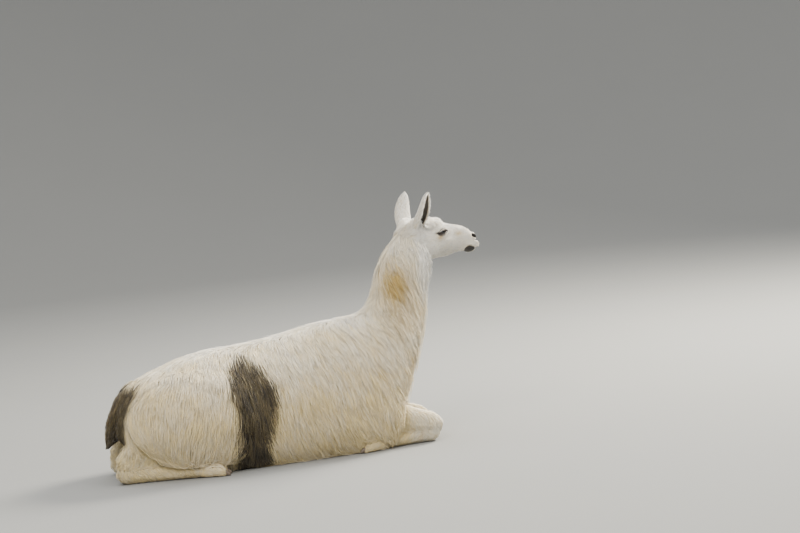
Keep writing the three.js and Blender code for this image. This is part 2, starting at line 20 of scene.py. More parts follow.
import bmesh
import bpy
import numpy as np
from mathutils import Matrix, Vector
from mathutils.bvhtree import BVHTree
from mathutils.kdtree import KDTree


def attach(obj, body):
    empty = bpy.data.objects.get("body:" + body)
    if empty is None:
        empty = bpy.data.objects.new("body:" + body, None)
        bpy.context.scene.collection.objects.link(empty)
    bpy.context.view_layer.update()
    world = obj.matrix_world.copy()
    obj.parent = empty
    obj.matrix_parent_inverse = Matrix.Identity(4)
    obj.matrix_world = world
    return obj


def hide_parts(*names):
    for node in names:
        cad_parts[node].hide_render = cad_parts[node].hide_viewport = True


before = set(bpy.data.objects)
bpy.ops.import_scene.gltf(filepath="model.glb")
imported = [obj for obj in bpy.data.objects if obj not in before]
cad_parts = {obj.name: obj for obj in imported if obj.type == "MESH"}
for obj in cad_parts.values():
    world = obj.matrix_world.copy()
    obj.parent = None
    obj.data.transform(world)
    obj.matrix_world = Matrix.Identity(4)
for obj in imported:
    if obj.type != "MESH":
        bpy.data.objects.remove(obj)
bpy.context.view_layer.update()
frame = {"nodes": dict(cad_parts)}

log = logging.getLogger("llama")
Array = np.ndarray

MM = 0.001
FOOTPRINT = np.array([0.189, 0.0, 0.0])
CORE = 0.5  # how deep the skin lies in the fleece, as a part of its depth
LIMB_CORE = 0.45  # the same in the coat of the limbs
HEAD_CORE = 0.7  # the same in the fur of the head
TOE_DEPTH = 0.0015
FLOOR_LIFT = 0.002  # the lowest height of the skin and of the tufts' centre lines
ROOT_FLOOR = 0.006  # the lowest height of a tuft's root
TUFT_FLOOR = 0.0006  # the lowest height of a tuft's surface
NAIL_FLOOR = 0.001
TINY = 1e-9  # keeps a division away from nought

# Trunk stations, buttocks to poll, in mm: back x, back z, under x, under z, half width, coat depth.
TRUNK_ROWS = (
    (-905, 240, -897, 120, 70, 26),
    (-868, 326, -868, 20, 148, 38),
    (-790, 390, -775, -50, 200, 46),
    (-670, 442, -645, -60, 232, 50),
    (-550, 466, -520, -60, 248, 54),
    (-410, 471, -380, -60, 256, 54),
    (-250, 492, -210, -60, 258, 54),
    (-100, 518, -40, -60, 248, 54),
    (30, 529, 130, -60, 222, 54),
    (94, 547, 198, 118, 190, 52),
    (120, 580, 290, 345, 156, 48),
    (137, 621, 336, 486, 128, 46),
    (151, 672, 354, 594, 114, 44),
    (176, 729, 379, 652, 106, 42),
    (214, 779, 384, 690, 92, 36),
    (262, 819, 378, 716, 74, 26),
    (306, 842, 378, 744, 54, 18),
)
# Head stations along its own axis, in mm: x, top, bottom, half width, fur depth.
HEAD_ROWS = (
    (-24, 44, -42, 42, 8),
    (0, 62, -68, 58, 10),
    (36, 72, -86, 67, 10),
    (72, 77, -90, 71, 10),
    (108, 79, -86, 73, 9),
    (139, 74, -79, 69, 8),
    (168, 66, -75, 58, 6),
    (196, 58, -69, 47, 5),
    (229, 52, -60, 41, 4),
    (257, 46, -58, 38, 4),
    (279, 34, -64, 37, 3),
    (294, 22, -63, 36, 3),
    (307, 14, -58, 32, 3),
    (318, 3, -51, 26, 2),
    (326, -10, -45, 18, 2),
)
# Limb stations of the left side, in mm: centre x, y, z, half height, half width.
HAUNCH_ROWS = (
    (-868, 112, 250, 42, 30),
    (-828, 138, 236, 118, 74),
    (-745, 158, 214, 164, 106),
    (-640, 170, 192, 176, 116),
    (-540, 178, 168, 152, 104),
    (-466, 184, 150, 112, 78),
    (-424, 188, 140, 50, 36),
)
FOREARM_ROWS = (
    (-40, 128, 190, 34, 30),
    (0, 126, 176, 66, 56),
    (80, 120, 140, 66, 56),
    (170, 113, 110, 56, 50),
    (250, 107, 86, 48, 46),
    (300, 104, 68, 46, 46),
    (332, 103, 56, 26, 28),
)
FORE_CANNON_ROWS = (
    (322, 103, 40, 22, 26),
    (296, 104, 38, 38, 40),
    (230, 110, 33, 33, 33),
    (150, 124, 31, 31, 30),
    (90, 138, 32, 33, 33),
)
SHANK_ROWS = (
    (-440, 176, 120, 40, 34),
    (-490, 172, 118, 74, 58),
    (-600, 160, 108, 72, 54),
    (-740, 145, 100, 56, 44),
    (-850, 133, 96, 46, 38),
    (-915, 127, 92, 46, 36),
    (-950, 125, 84, 24, 22),
)
HIND_CANNON_ROWS = (
    (-958, 126, 50, 20, 22),
    (-930, 127, 44, 42, 36),
    (-860, 138, 36, 36, 32),
    (-740, 172, 32, 32, 30),
    (-640, 202, 33, 34, 34),
)
TAIL_ROWS = (
    (-788, 0, 322, 26, 34),
    (-832, 0, 326, 32, 44),
    (-868, 0, 304, 34, 54),
    (-901, 0, 264, 34, 58),
    (-931, 0, 218, 32, 56),
    (-955, 0, 174, 26, 46),
    (-970, 0, 140, 13, 24),
)
# How far the fleece leans ahead as it falls: x in mm, lean.
LEAN_ROWS = ((-900, -0.45), (-640, -0.2), (-400, 0.08), (-150, 0.25), (60, 0.5), (240, 0.5))

HEAD_AT = np.array([291.0, 0.0, 798.0]) * MM
HEAD_YAW = math.radians(14.0)
HEAD_PITCH = math.radians(4.0)
EYE_AT = np.array([141.0, 44.0, 27.0]) * MM
EYE_BALL = np.array([28.0, 21.5, 23.5]) * MM  # half axes ahead, outwards and up
EYE_SLANT = 0.27  # how fast the eye turns inwards ahead
EYE_SOCKET = np.array([33.5, 24.4, 26.5]) * MM  # half axes of the swelling round the ball
# The opening of the lids: half width, rise and fall of the lids, and tilt of the corners.
EYE_OPEN = (26.0 * MM, 10.5 * MM, 10.0 * MM, 4.0 * MM)
NOSTRIL = np.array([[294.0, 30.0, 5.5], [300.0, 27.0, 3.5], [305.0, 23.0, 1.0]]) * MM
# The line between the lips in the head's frame: x and height.
MOUTH_ROWS = (
    (0.240, -0.0340), (0.259, -0.0340), (0.281, -0.0348), (0.295, -0.0392), (0.314, -0.0430),
    (0.330, -0.0440),
)
# The dark oval of the lower lip in the head's frame: x and height of its middle, and its half axes.
LIP_OVAL = (0.279, -0.0478, 0.0225, 0.0140)
# Swellings on each side of the head, in mm in its own frame: centre, half axes.
HEAD_SWELLINGS = (
    ((24.0, 45.0, 44.0), (24.0, 22.0, 30.0)),  # root of the ear
    ((92.0, 46.0, -26.0), (46.0, 24.0, 40.0)),  # cheek
    ((298.0, 15.0, -14.0), (25.0, 17.5, 27.0)),  # side of the muzzle
)
# Raised (+) and sunk (-) forms on each side of the face, in its frame: height, centre, widths.
FACE_FORMS = (
    (0.0040, (0.152, 0.045, 0.056), (0.026, 0.020, 0.010)),  # brow
    (-0.0030, (0.200, 0.036, 0.016), (0.026, 0.020, 0.020)),  # hollow ahead of the eye
    (-0.0025, (0.128, 0.060, -0.012), (0.018, 0.020, 0.008)),  # hollow under the eye
    (0.0025, (0.160, 0.052, -0.004), (0.034, 0.020, 0.009)),  # cheekbone
)
# The foremost outline of nose and lips, in mm in the head's frame: height, x.
MUZZLE_ROWS = (
    (-46, 320), (-36, 325), (-28, 325), (-20, 320), (-14.5, 300), (-8, 308), (0, 311.5), (6, 310), (12, 305),
    (20, 298), (30, 288),
)


class Side(Enum):
    """The animal's two sides, with the sign of their Y."""

    LEFT = 1
    RIGHT = -1

    @property
    def word(self) -> str:
        """The side's name in lower case."""
        return self.name.lower()


# ---------------------------------------------------------------- plain maths
def unit(vectors: Array) -> Array:
    """Vectors divided by their lengths."""
    return vectors / np.maximum(np.linalg.norm(vectors, axis=-1, keepdims=True), TINY)


def dot(a: Array, b: Array) -> Array:
    """The dot product of each pair of rows, with its last axis kept."""
    return np.sum(a * b, axis=-1, keepdims=True)


def step(low: float, high: float, x: Array) -> Array:
    """A smooth step: 0 below low, 1 above high and 3t^2 - 2t^3 between them."""
    t = np.clip((x - low) / (high - low), 0.0, 1.0)
    return t * t * (3.0 - 2.0 * t)


def hump(x: Array, width: float) -> Array:
    """A smooth hump of height 1 at x = 0, which falls to 1 / e at a width from it."""
    return np.exp(-((x / width) ** 2))


def turned(axis: Array, vectors: Array, angle: Array) -> Array:
    """Vectors turned about unit axes square to them: v cos a + (axis x v) sin a."""
    angle = np.asarray(angle)[..., None]
    return vectors * np.cos(angle) + np.cross(axis, vectors) * np.sin(angle)


def through(rows: Array, u: Array) -> Array:
    """A curve through rows of values.

    Between each two rows it is the cubic whose slope at a row is half the step between the rows on
    either side, with one more row reflected past each end.

    Args:
        rows: values at u = 0, 1, 2 and so on, one row each.
        u: places along the curve.

    Returns:
        The values at u.
    """
    more = np.vstack([2 * rows[:1] - rows[1:2], rows, 2 * rows[-1:] - rows[-2:-1]])
    u = np.clip(np.asarray(u, float), 0.0, len(rows) - 1.0)
    i = np.minimum(u.astype(int), len(rows) - 2)
    t = (u - i)[..., None]
    a, b, c, d = more[i], more[i + 1], more[i + 2], more[i + 3]
    return b + 0.5 * t * ((c - a) + t * ((2 * a - 5 * b + 4 * c - d) + t * (3 * (b - c) + d - a)))


def lattice(i: Array, j: Array, k: Array, seed: int) -> Array:
    """A repeatable number from 0 to 1 for each corner (i, j, k) of a lattice, by mixing bits."""
    h = (i * 73856093) ^ (j * 19349663) ^ (k * 83492791) ^ (seed * 2654435761)
    h = (h ^ (h >> 13)) * 1274126177 & 0xFFFFFFFF
    h = (h ^ (h >> 16)) * 2246822519 & 0xFFFFFFFF
    return ((h ^ (h >> 15)) & 0xFFFFFF) / float(0xFFFFFF)


def noise(points: Array, size: float, seed: int = 0) -> Array:
    """Smooth noise from 0 to 1: lattice numbers a size apart, blended with smooth weights."""
    q = points / size
    base = np.floor(q).astype(np.int64)
    t = q - base
    t = t * t * (3.0 - 2.0 * t)
    total = np.zeros(points.shape[:-1])
    for corner in range(8):
        di, dj, dk = corner & 1, corner >> 1 & 1, corner >> 2 & 1
        weight = np.ones_like(total)
        for axis, bit in enumerate((di, dj, dk)):
            weight = weight * (t[..., axis] if bit else 1.0 - t[..., axis])
        total += weight * lattice(base[..., 0] + di, base[..., 1] + dj, base[..., 2] + dk, seed)
    return total


def head_turn() -> Array:
    """The head's rotation: yaw about Z after pitch about Y, nose down."""
    cy, sy = math.cos(HEAD_YAW), math.sin(HEAD_YAW)
    cp, sp = math.cos(HEAD_PITCH), math.sin(HEAD_PITCH)
    yaw = np.array([[cy, -sy, 0], [sy, cy, 0], [0, 0, 1.0]])
    pitch = np.array([[cp, 0, sp], [0, 1.0, 0], [-sp, 0, cp]])
    return yaw @ pitch


HEAD_TURN = head_turn()


def to_body(points: Array) -> Array:
    """Points of the head's own frame, in the chest frame."""
    return points @ HEAD_TURN.T + HEAD_AT


def to_head(points: Array) -> Array:
    """Points of the chest frame, in the head's own frame."""
    return (points - HEAD_AT) @ HEAD_TURN


def lid_heights(a: Array) -> tuple[Array, Array]:
    """The lids' edges at a from -1 (rear corner) to 1: parabolas, the upper one fuller ahead."""
    _, rise, fall, tilt = EYE_OPEN
    bow = 1 - a * a
    return tilt * a + rise * bow * (1 + 0.3 * a), tilt * a - fall * bow * (1 - 0.3 * a)


def almond(x: Array, z: Array) -> Array:
    """How far a place lies inside the opening of the lids, less outside it.

    Args:
        x: metres ahead of the eye's middle.
        z: metres above it.

    Returns:
        The smaller of the distances below the upper lid and above the lower one.
    """
    a = x / EYE_OPEN[0]
    top, low = lid_heights(a)
    return np.minimum(top - z, z - low)


def nostril_gap(h: Array) -> Array:
    """The distance of points of the head's frame from the bent line of the nostril on their side, where
    metres sideways count for less."""
    q = h * np.sign(h + 1e-9) ** np.array([0, 1, 0])
    small = np.array([1.0, 0.3, 1.0])
    gap = np.full(h.shape[:-1], 1.0)
    for a, b in zip(NOSTRIL[:-1], NOSTRIL[1:]):
        t = np.clip(np.sum((q - a) * (b - a), axis=-1) / np.sum((b - a) ** 2), 0, 1)
        gap = np.minimum(gap, np.linalg.norm((q - a - t[..., None] * (b - a)) * small, axis=-1))
    return gap


def mouth_line(x: Array) -> Array:
    """The height of the line between the lips at x, in the head's frame."""
    return np.interp(x, *np.array(MOUTH_ROWS).T)


def lip_gap(x: Array, z: Array) -> Array:
    """How far x, z lies from the middle of the lower lip's dark oval, as a part of the oval's reach."""
    cx, cz, rx, rz = LIP_OVAL
    return ((x - cx) / rx) ** 2 + ((z - cz) / rz) ** 2


# ---------------------------------------------------------------- lofts
Depth = Callable[[Array, Array], Array]  # a depth inside an outline at u, v
# The lie of a coat, from u, v, points and the directions outwards.
Heading = Callable[[Array, Array, Array, Array], Array]


@dataclass
class Loft:
    """A body of changing oval section along a row of stations.

    Each station has a centre, the half axes up and side as vectors, and the depth of its coat.
    """

    centre: Array
    up: Array
    side: Array
    coat: Array
    pear: float = 0.0
    power: float = 2.0

    @property
    def last(self) -> float:
        """The last station's number."""
        return len(self.centre) - 1.0

    def point(self, u: Array, v: Array, depth: Array = 0.0) -> Array:
        """The point at station u and turn v, a depth inside the outline of the coat's tips.

        The section is a rounded oval: centre + up r(cos) - side r(sin)(1 - pear cos), where r(x) is x
        to the power 2 / power with its sign kept, and each half axis is shortened by the depth.

        Args:
            u: station, from 0 to last.
            v: turn, from 0 on the back line over the right side to 0.5 underneath.
            depth: metres inside the outline.

        Returns:
            The points.
        """
        u, v, depth = np.broadcast_arrays(*(np.asarray(k, float) for k in (u, v, depth)))
        centre, up, side = (through(k, u) for k in (self.centre, self.up, self.side))
        high, wide = np.linalg.norm(up, axis=-1), np.linalg.norm(side, axis=-1)
        cos, sin = np.cos(2 * np.pi * v), np.sin(2 * np.pi * v)
        a = np.sign(cos) * np.abs(cos) ** (2 / self.power) * np.maximum(high - depth, MM) / high
        b = -np.sign(sin) * np.abs(sin) ** (2 / self.power) * np.maximum(wide - depth, MM) / wide
        return centre + up * a[..., None] + side * (b * (1 - self.pear * cos))[..., None]

    def coat_at(self, u: Array, v: Array) -> Array:
        """The coat's depth, which thins to 0.3 of itself along the back line."""
        fine = 0.3 + 0.7 * np.minimum(1.0, 2.2 * np.abs(np.sin(np.pi * np.asarray(v, float))))
        return through(self.coat[:, None], u)[..., 0] * fine

    def slide(self, u: Array, v: Array, heading: Array, distance: Array) -> tuple[Array, ...]:
        """Moves over the surface by a distance, along a world vector laid onto the surface.

        Args:
            u: stations.
            v: turns.
            heading: one vector a place.
            distance: metres.

        Returns:
            The new u and v, the unit vectors outwards and the unit vectors of the move.
        """
        du = (self.point(u + 0.02, v) - self.point(u - 0.02, v)) / 0.04
        dv = (self.point(u, v + 0.004) - self.point(u, v - 0.004)) / 0.008
        out = unit(np.cross(dv, du))
        along = unit(heading - out * dot(heading, out))
        a, b, c = (dot(*pair)[..., 0] for pair in ((du, du), (du, dv), (dv, dv)))
        p, q = dot(along, du)[..., 0], dot(along, dv)[..., 0]
        det = np.maximum(a * c - b * b, 1e-9)
        return u + distance * (p * c - q * b) / det, v + distance * (q * a - p * b) / det, out, along

    def shell(self, rings: int, around: int, depth: Depth) -> "Patch":
        """The closed surface a depth(u, v) inside the outline, as a grid with a pole at each end."""
        u, v = np.meshgrid(np.linspace(0, self.last, rings), np.arange(around) / around, indexing="ij")
        return tube(self.point(u, v, depth(u, v)))


@dataclass
class Patch:
    """Points with the faces on them."""

    points: Array
    quads: Array
    tris: Array

    @property
    def corners(self) -> Array:
        """The point of each face corner, quads first."""
        return np.concatenate([self.quads.ravel(), self.tris.ravel()])

    def triangles(self) -> Array:
        """All faces as triangles."""
        q = self.quads
        return np.vstack([q[:, [0, 1, 2]], q[:, [0, 2, 3]], self.tris]) if len(q) else self.tris

    def outward(self) -> "Patch":
        """The same closed surface with its faces pointing outwards, by the sign of its volume."""
        a, b, c = (self.points[self.triangles()[:, i]] for i in range(3))
        if np.sum(a * np.cross(b, c)) < 0:
            return Patch(self.points, self.quads[:, ::-1], self.tris[:, ::-1])
        return self


def ring_quads(at: Array) -> Array:
    """The quads between neighbouring rings of points, given as point numbers by ring and place round it."""
    after = np.roll(at, -1, axis=1)
    return np.stack([at[:-1], at[1:], after[1:], after[:-1]], -1).reshape(-1, 4)


def tube(grid: Array) -> Patch:
    """A closed surface on rings of points: quads between rings and a fan of triangles at each end.

    Args:
        grid: points by ring, by place round the ring, by axis.

    Returns:
        The surface, facing outwards.
    """
    rings, around = grid.shape[:2]
    at = np.arange(rings * around).reshape(rings, around)
    after = np.roll(at, -1, axis=1)
    poles = [rings * around, rings * around + 1]
    first = np.stack([np.full(around, poles[0]), at[0], after[0]], -1)
    last = np.stack([np.full(around, poles[1]), after[-1], at[-1]], -1)
    points = np.vstack([grid.reshape(-1, 3), grid[0].mean(0), grid[-1].mean(0)])
    return Patch(points, ring_quads(at), np.vstack([first, last])).outward()


def joined(patches: Iterable[Patch]) -> Patch:
    """Several surfaces as one list of points and faces."""
    points, quads, tris, start = [], [], [], 0
    for patch in patches:
        points.append(patch.points)
        quads.append(patch.quads.reshape(-1, 4) + start)
        tris.append(patch.tris.reshape(-1, 3) + start)
        start += len(patch.points)
    return Patch(np.vstack(points), np.vstack(quads), np.vstack(tris))


def globe(first: float, last: float, rings: int, around: int) -> tuple[Array, Array]:
    """Rings of a unit ball about Y: the angle of each point from +Y, and the points.

    Args:
        first: the first ring's angle from +Y, as a part of half a turn.
        last: the last ring's.
        rings: number of rings.
        around: points round a ring.

    Returns:
        The angles and the points, by ring and place round it.
    """
    t, a = np.meshgrid(np.linspace(first, last, rings) * np.pi, np.arange(around) / around * 2 * np.pi,
                       indexing="ij")
    return t, np.stack([np.sin(t) * np.cos(a), np.cos(t), np.sin(t) * np.sin(a)], -1)


def egg(centre: Array, radii: Array, slant: float = 0.0) -> Patch:
    """A closed egg with its half axes along the head's axes, moved sideways by slant a metre ahead."""
    ball = globe(0.04, 0.96, 18, 28)[1] * np.asarray(radii)
    ball[..., 1] += slant * ball[..., 0]
    return tube(to_body(np.asarray(centre) + ball))


def trunk_loft() -> Loft:
    """The loft of body and neck, from the rows of back and underside points."""
    r = np.array(TRUNK_ROWS, float) * MM
    zero = np.zeros(len(r))
    back, under = np.stack([r[:, 0], zero, r[:, 1]], -1), np.stack([r[:, 2], zero, r[:, 3]], -1)
    side = np.stack([zero, r[:, 4], zero], -1)
    return Loft((back + under) / 2, (back - under) / 2, side, r[:, 5], pear=0.08, power=2.15)


def head_loft() -> Loft:
    """The head's loft, from the rows along its axis."""
    r = np.array(HEAD_ROWS, float) * MM
    zero = np.zeros(len(r))
    centre = to_body(np.stack([r[:, 0], zero, (r[:, 1] + r[:, 2]) / 2], -1))
    up = np.stack([zero, zero, (r[:, 1] - r[:, 2]) / 2], -1) @ HEAD_TURN.T
    side = np.stack([zero, r[:, 3], zero], -1) @ HEAD_TURN.T
    return Loft(centre, up, side, r[:, 4], pear=0.04, power=2.2)


def limb_loft(rows: Iterable, side_of: Side, coat: float) -> Loft:
    """A limb's loft, whose sections stand across the line through its centres.

    Args:
        rows: rows of the left side.
        side_of: the side that it is made for.
        coat: the coat's depth in metres.

    Returns:
        The loft.
    """
    r = np.array(rows, float) * MM
    centre = r[:, :3] * [1, side_of.value, 1]
    index = np.arange(len(r))
    along = unit(centre[np.minimum(index + 1, len(r) - 1)] - centre[np.maximum(index - 1, 0)])
    side = unit(np.cross([0, 0, 1.0], along))
    up = unit(np.cross(along, side))
    return Loft(centre, up * r[:, 3:4], side * r[:, 4:5], np.full(len(r), coat), power=2.2)


def both_sides(rows: Iterable, coat: float) -> dict[Side, Loft]:
    """A limb's loft on each side."""
    return {s: limb_loft(rows, s, coat) for s in Side}


def toe_frame(rows: Iterable, side_of: Side) -> tuple[Array, Array, Array]:
    """Where a foot starts: the fetlock, the way ahead on the floor and the way across."""
    r = np.array(rows, float)[:, :3] * MM * [1, side_of.value, 1]
    along = (r[-1] - r[-2]) * [1, 1, 0]
    along = along / np.linalg.norm(along)
    return r[-1], along, np.cross([0, 0, 1.0], along)


def toe_loft(rows: Iterable, side_of: Side, k: int) -> Loft:
    """One toe of a cloven foot, k = 1 or -1, from the fetlock to just under its nail."""
    heel, along, across = toe_frame(rows, side_of)
    s = np.array([0, 0.25, 0.6, 0.88, 1.0])[:, None]
    high = np.array([30, 30, 26, 19, 9])[:, None] * MM
    half = np.array([0.95, 1.05, 1, 0.8, 0.4])[:, None] * 21 * MM
    centre = heel + along * (0.002 + 0.092 * s) + across * k * 0.021 * (0.55 + 0.45 * s)
    centre[:, 2:] = high
    return Loft(centre, high * [0, 0, 1.0], half * across, np.zeros(5), power=2.3)


def toe_lofts() -> list[Loft]:
    """All toes, fore before hind and left before right."""
    return [toe_loft(rows, s, k) for rows in (FORE_CANNON_ROWS, HIND_CANNON_ROWS)
            for s in Side for k in (1, -1)]


def nail_loft(rows: Iterable, side_of: Side, k: int) -> Loft:
    """The short curved nail at the tip of a toe."""
    heel, along, across = toe_frame(rows, side_of)
    s = np.array([0, 0.5, 1.0])[:, None]
    centre = heel + along * (0.080 + 0.030 * s) + across * k * 0.021
    centre[:, 2:] = np.array([17, 13, 6])[:, None] * MM
    high = np.array([13, 11, 5])[:, None] * MM
    half = np.array([12, 9.5, 3])[:, None] * MM
    return Loft(centre, high * [0, 0, 1.0], half * across, np.zeros(3), power=2.2)


def fleece_depth(loft: Loft) -> Depth:
    """How deep the skin lies in a long coat."""
    return lambda u, v: CORE * loft.coat_at(u, v)


def even_depth(depth: float) -> Depth:
    """The same depth all over."""
    return lambda u, v: depth + 0 * u


def limb_depth(loft: Loft) -> Depth:
    """How deep the skin lies in a limb's short coat."""
    return even_depth(LIMB_CORE * loft.coat[0])


def anywhere(p: Array) -> Array:
    """A mask that leaves no point out."""
    return np.ones(len(p), bool)


def point_tree(points: Array) -> KDTree:
    """A search tree of points."""
    tree = KDTree(len(points))
    for i, p in enumerate(points.tolist()):
        tree.insert(p, i)
    tree.balance()
    return tree


# ---------------------------------------------------------------- meshes
def make_piece(name: str, patch: Patch, material: bpy.types.Material, values: dict[str, Array] | None = None,
               loop_uv: Array | None = None, normals: Array | None = None) -> bpy.types.Object:
    """Puts a surface into the scene as a piece of the body.

    Args:
        name: the piece's name.
        patch: its points in the chest frame, and its faces.
        material: its finish.
        values: numbers by point, kept as attributes under their names.
        loop_uv: a uv place for each face corner, quads first, kept as the map OFBake.
        normals: shading directions by point, where they aren't those of the faces.

    Returns:
        The object, at the origin, riding on the one body.
    """
    mesh = bpy.data.meshes.new(name)
    quads, tris = patch.quads.reshape(-1, 4), patch.tris.reshape(-1, 3)
    corners = patch.corners.astype(np.int32)
    starts = np.concatenate([np.arange(len(quads)) * 4, 4 * len(quads) + np.arange(len(tris)) * 3])
    mesh.vertices.add(len(patch.points))
    mesh.loops.add(len(corners))
    mesh.polygons.add(len(quads) + len(tris))
    mesh.vertices.foreach_set("co", (patch.points + FOOTPRINT).astype(np.float32).ravel())
    mesh.loops.foreach_set("vertex_index", corners)
    mesh.polygons.foreach_set("loop_start", starts.astype(np.int32))
    mesh.polygons.foreach_set("use_smooth", np.ones(len(starts), bool))
    mesh.update(calc_edges=True)
    for key, value in (values or {}).items():
        layer = mesh.attributes.new(key, "FLOAT", "POINT")
        layer.data.foreach_set("value", np.ascontiguousarray(value, np.float32))
    if loop_uv is not None:
        mesh.uv_layers.new(name="OFBake").data.foreach_set("uv", loop_uv.astype(np.float32).ravel())
    if normals is not None:
        mesh.normals_split_custom_set_from_vertices(normals.tolist())
    mesh.materials.append(material)
    piece = bpy.data.objects.new(name, mesh)
    bpy.context.scene.collection.objects.link(piece)
    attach(piece, "root")
    log.info("%s: %d triangles", name, 2 * len(quads) + len(tris))
    return piece


# ---------------------------------------------------------------- shader maths
@dataclass
class Wire:
    """A number or colour that flows through a material, with arithmetic that adds its own nodes."""

    maker: "Finish"
    socket: bpy.types.NodeSocket

    def _math(self, operation: str, first: object, second: object) -> "Wire":
        """One Math node on two values."""
        return self.maker.node("ShaderNodeMath", {"operation": operation}, {0: first, 1: second})

    def __add__(self, other: object) -> "Wire":
        """Sum."""
        return self._math("ADD", self, other)

    def __mul__(self, other: object) -> "Wire":
        """Product."""
        return self._math("MULTIPLY", self, other)

    def __sub__(self, other: object) -> "Wire":
        """Difference."""
        return self._math("SUBTRACT", self, other)

    def __rsub__(self, other: object) -> "Wire":
        """Difference from a number."""
        return self._math("SUBTRACT", other, self)

    def ramp(self, low: float, high: float) -> "Wire":
        """From 0 at low to 1 at high, smoothly."""
        sockets = {"Value": self, 1: low, 2: high, 3: 0.0, 4: 1.0}
        return self.maker.node("ShaderNodeMapRange", {"interpolation_type": "SMOOTHSTEP"}, sockets)


class Finish:
    """A material whose nodes are written as expressions."""

    def __init__(self, name: str) -> None:
        """Starts a material with nothing but its output."""
        self.material = bpy.data.materials.new(name)
        self.material.use_nodes = True
        self.tree = self.material.node_tree
        self.tree.nodes.clear()
        self.out = self.tree.nodes.new("ShaderNodeOutputMaterial")

    def node(self, kind: str, settings: dict[str, object], sockets: dict[object, object],
             out: object = 0) -> Wire:
        """Adds a node.

        Args:
            kind: the node's type.
            settings: its own settings, set first.
            sockets: what goes into its sockets, as numbers, colours or wires.
            out: which of its outputs is used.

        Returns:
            The wire from that output.
        """
        made = self.tree.nodes.new(kind)
        for key, value in settings.items():
            setattr(made, key, value)
        for key, value in sockets.items():
            if isinstance(value, Wire):
                self.tree.links.new(value.socket, made.inputs[key])
            else:
                made.inputs[key].default_value = value
        return Wire(self, made.outputs[out])

    def attribute(self, name: str) -> Wire:
        """A number kept on the mesh."""
        return self.node("ShaderNodeAttribute", {"attribute_name": name}, {}, "Fac")

    def place(self) -> Wire:
        """Object coordinates."""
        return self.node("ShaderNodeTexCoord", {}, {}, "Object")

    def mix(self, first: object, second: object, amount: object) -> Wire:
        """A colour between two, by amount."""
        settings = {"data_type": "RGBA", "clamp_factor": True}
        return self.node("ShaderNodeMix", settings, {0: amount, 6: first, 7: second}, 2)

    def grain(self, scale: float, detail: float, stretch: tuple = (1, 1, 1)) -> Wire:
        """Noise from 0 to 1 on object coordinates, stretched along the axes."""
        at = self.node("ShaderNodeVectorMath", {"operation": "MULTIPLY"}, {0: self.place(), 1: stretch})
        sockets = {"Vector": at, "Scale": scale, "Detail": detail, "Roughness": 0.5}
        return self.node("ShaderNodeTexNoise", {}, sockets)

    def bump(self, height: Wire, strength: float, distance: float) -> Wire:
        """A Bump node for the shader's normal."""
        sockets = {"Height": height, "Strength": strength, "Distance": distance}
        return self.node("ShaderNodeBump", {}, sockets)

    def done(self, sockets: dict[str, object]) -> bpy.types.Material:
        """Closes the material with its shader."""
        shader = self.node("ShaderNodeBsdfPrincipled", {}, sockets)
        self.tree.links.new(shader.socket, self.out.inputs["Surface"])
        return self.material


def rgb(r: float, g: float, b: float) -> tuple[float, float, float, float]:
    """A colour with full alpha."""
    return (r, g, b, 1.0)


@dataclass(frozen=True)
class CoatFinish:
    """White fleece and hair with dark brown and tan markings, the same on skin and tufts.

    The markings come as numbers on the mesh: dark, tan, rose, bare, warm and, on tufts, tone and tip.
    The deep colour is painted shade towards the tufts' roots, where shade falls between them, and the
    lower-toned tufts are darker at random. Besides the dark bare skin, bare carries painted shade on the
    muzzle and ears.
    """

    name: str
    white: tuple = rgb(0.86, 0.825, 0.745)
    cream: tuple = rgb(0.75, 0.575, 0.275)
    # painted shade: the dark beige that tufts take towards their roots, where shade falls between them
    deep: tuple = rgb(0.40, 0.32, 0.20)
    brown: tuple = rgb(0.115, 0.084, 0.036)
    sable: tuple = rgb(0.014, 0.010, 0.006)
    tan: tuple = rgb(0.46, 0.295, 0.080)
    # the dark of bare skin, also used for painted shade on the muzzle and ears
    bare: tuple = rgb(0.013, 0.011, 0.010)
    rose: tuple = rgb(0.62, 0.46, 0.36)
    roughness: float = 0.72
    sheen: float = 0.15
    skin: bool = False

    def make(self) -> bpy.types.Material:
        """The material."""
        f = Finish(self.name)
        tone = f.attribute("tone")
        tip = f.attribute("tip")
        patchy = f.grain(7.0, 4.0)
        warm = f.attribute("warm") * 0.95 + (tone - 0.5) * 0.5 + (patchy - 0.5) * 0.7 + (0.45 - tip) * 0.3
        white = f.mix(self.white, self.cream, warm)
        # painted shade: darker towards the roots (low tip), and more on the lower-toned tufts at random
        white = f.mix(white, self.deep, (0.95 - tip * 0.8 - tone * 0.7).ramp(0.0, 1.2))
        white = f.mix(white, self.tan, f.attribute("tan"))
        white = f.mix(white, self.rose, f.attribute("rose"))
        brown = f.mix(self.sable, self.brown, (tone * 0.9 + tip * 0.4).ramp(0.25, 1.3))
        colour = f.mix(white, brown, f.attribute("dark"))
        # bare skin and the painted shade on the muzzle and ears both darken towards the bare colour
        colour = f.mix(colour, self.bare, f.attribute("bare"))
        sockets = {
            "Base Color": colour,
            "Roughness": self.roughness,
            "Specular IOR Level": 0.25,
            "Sheen Weight": self.sheen,
            "Sheen Roughness": 0.5,
            "Subsurface Weight": 0.35,
            "Subsurface Radius": (1.0, 0.8, 0.6),
            "Subsurface Scale": 0.008,
        }
        if self.skin:
            hairs = f.grain(420.0, 3.0, (0.35, 1.0, 0.35))
            sockets["Normal"] = f.bump(hairs, 0.35, 0.0012)
        return f.done(sockets)


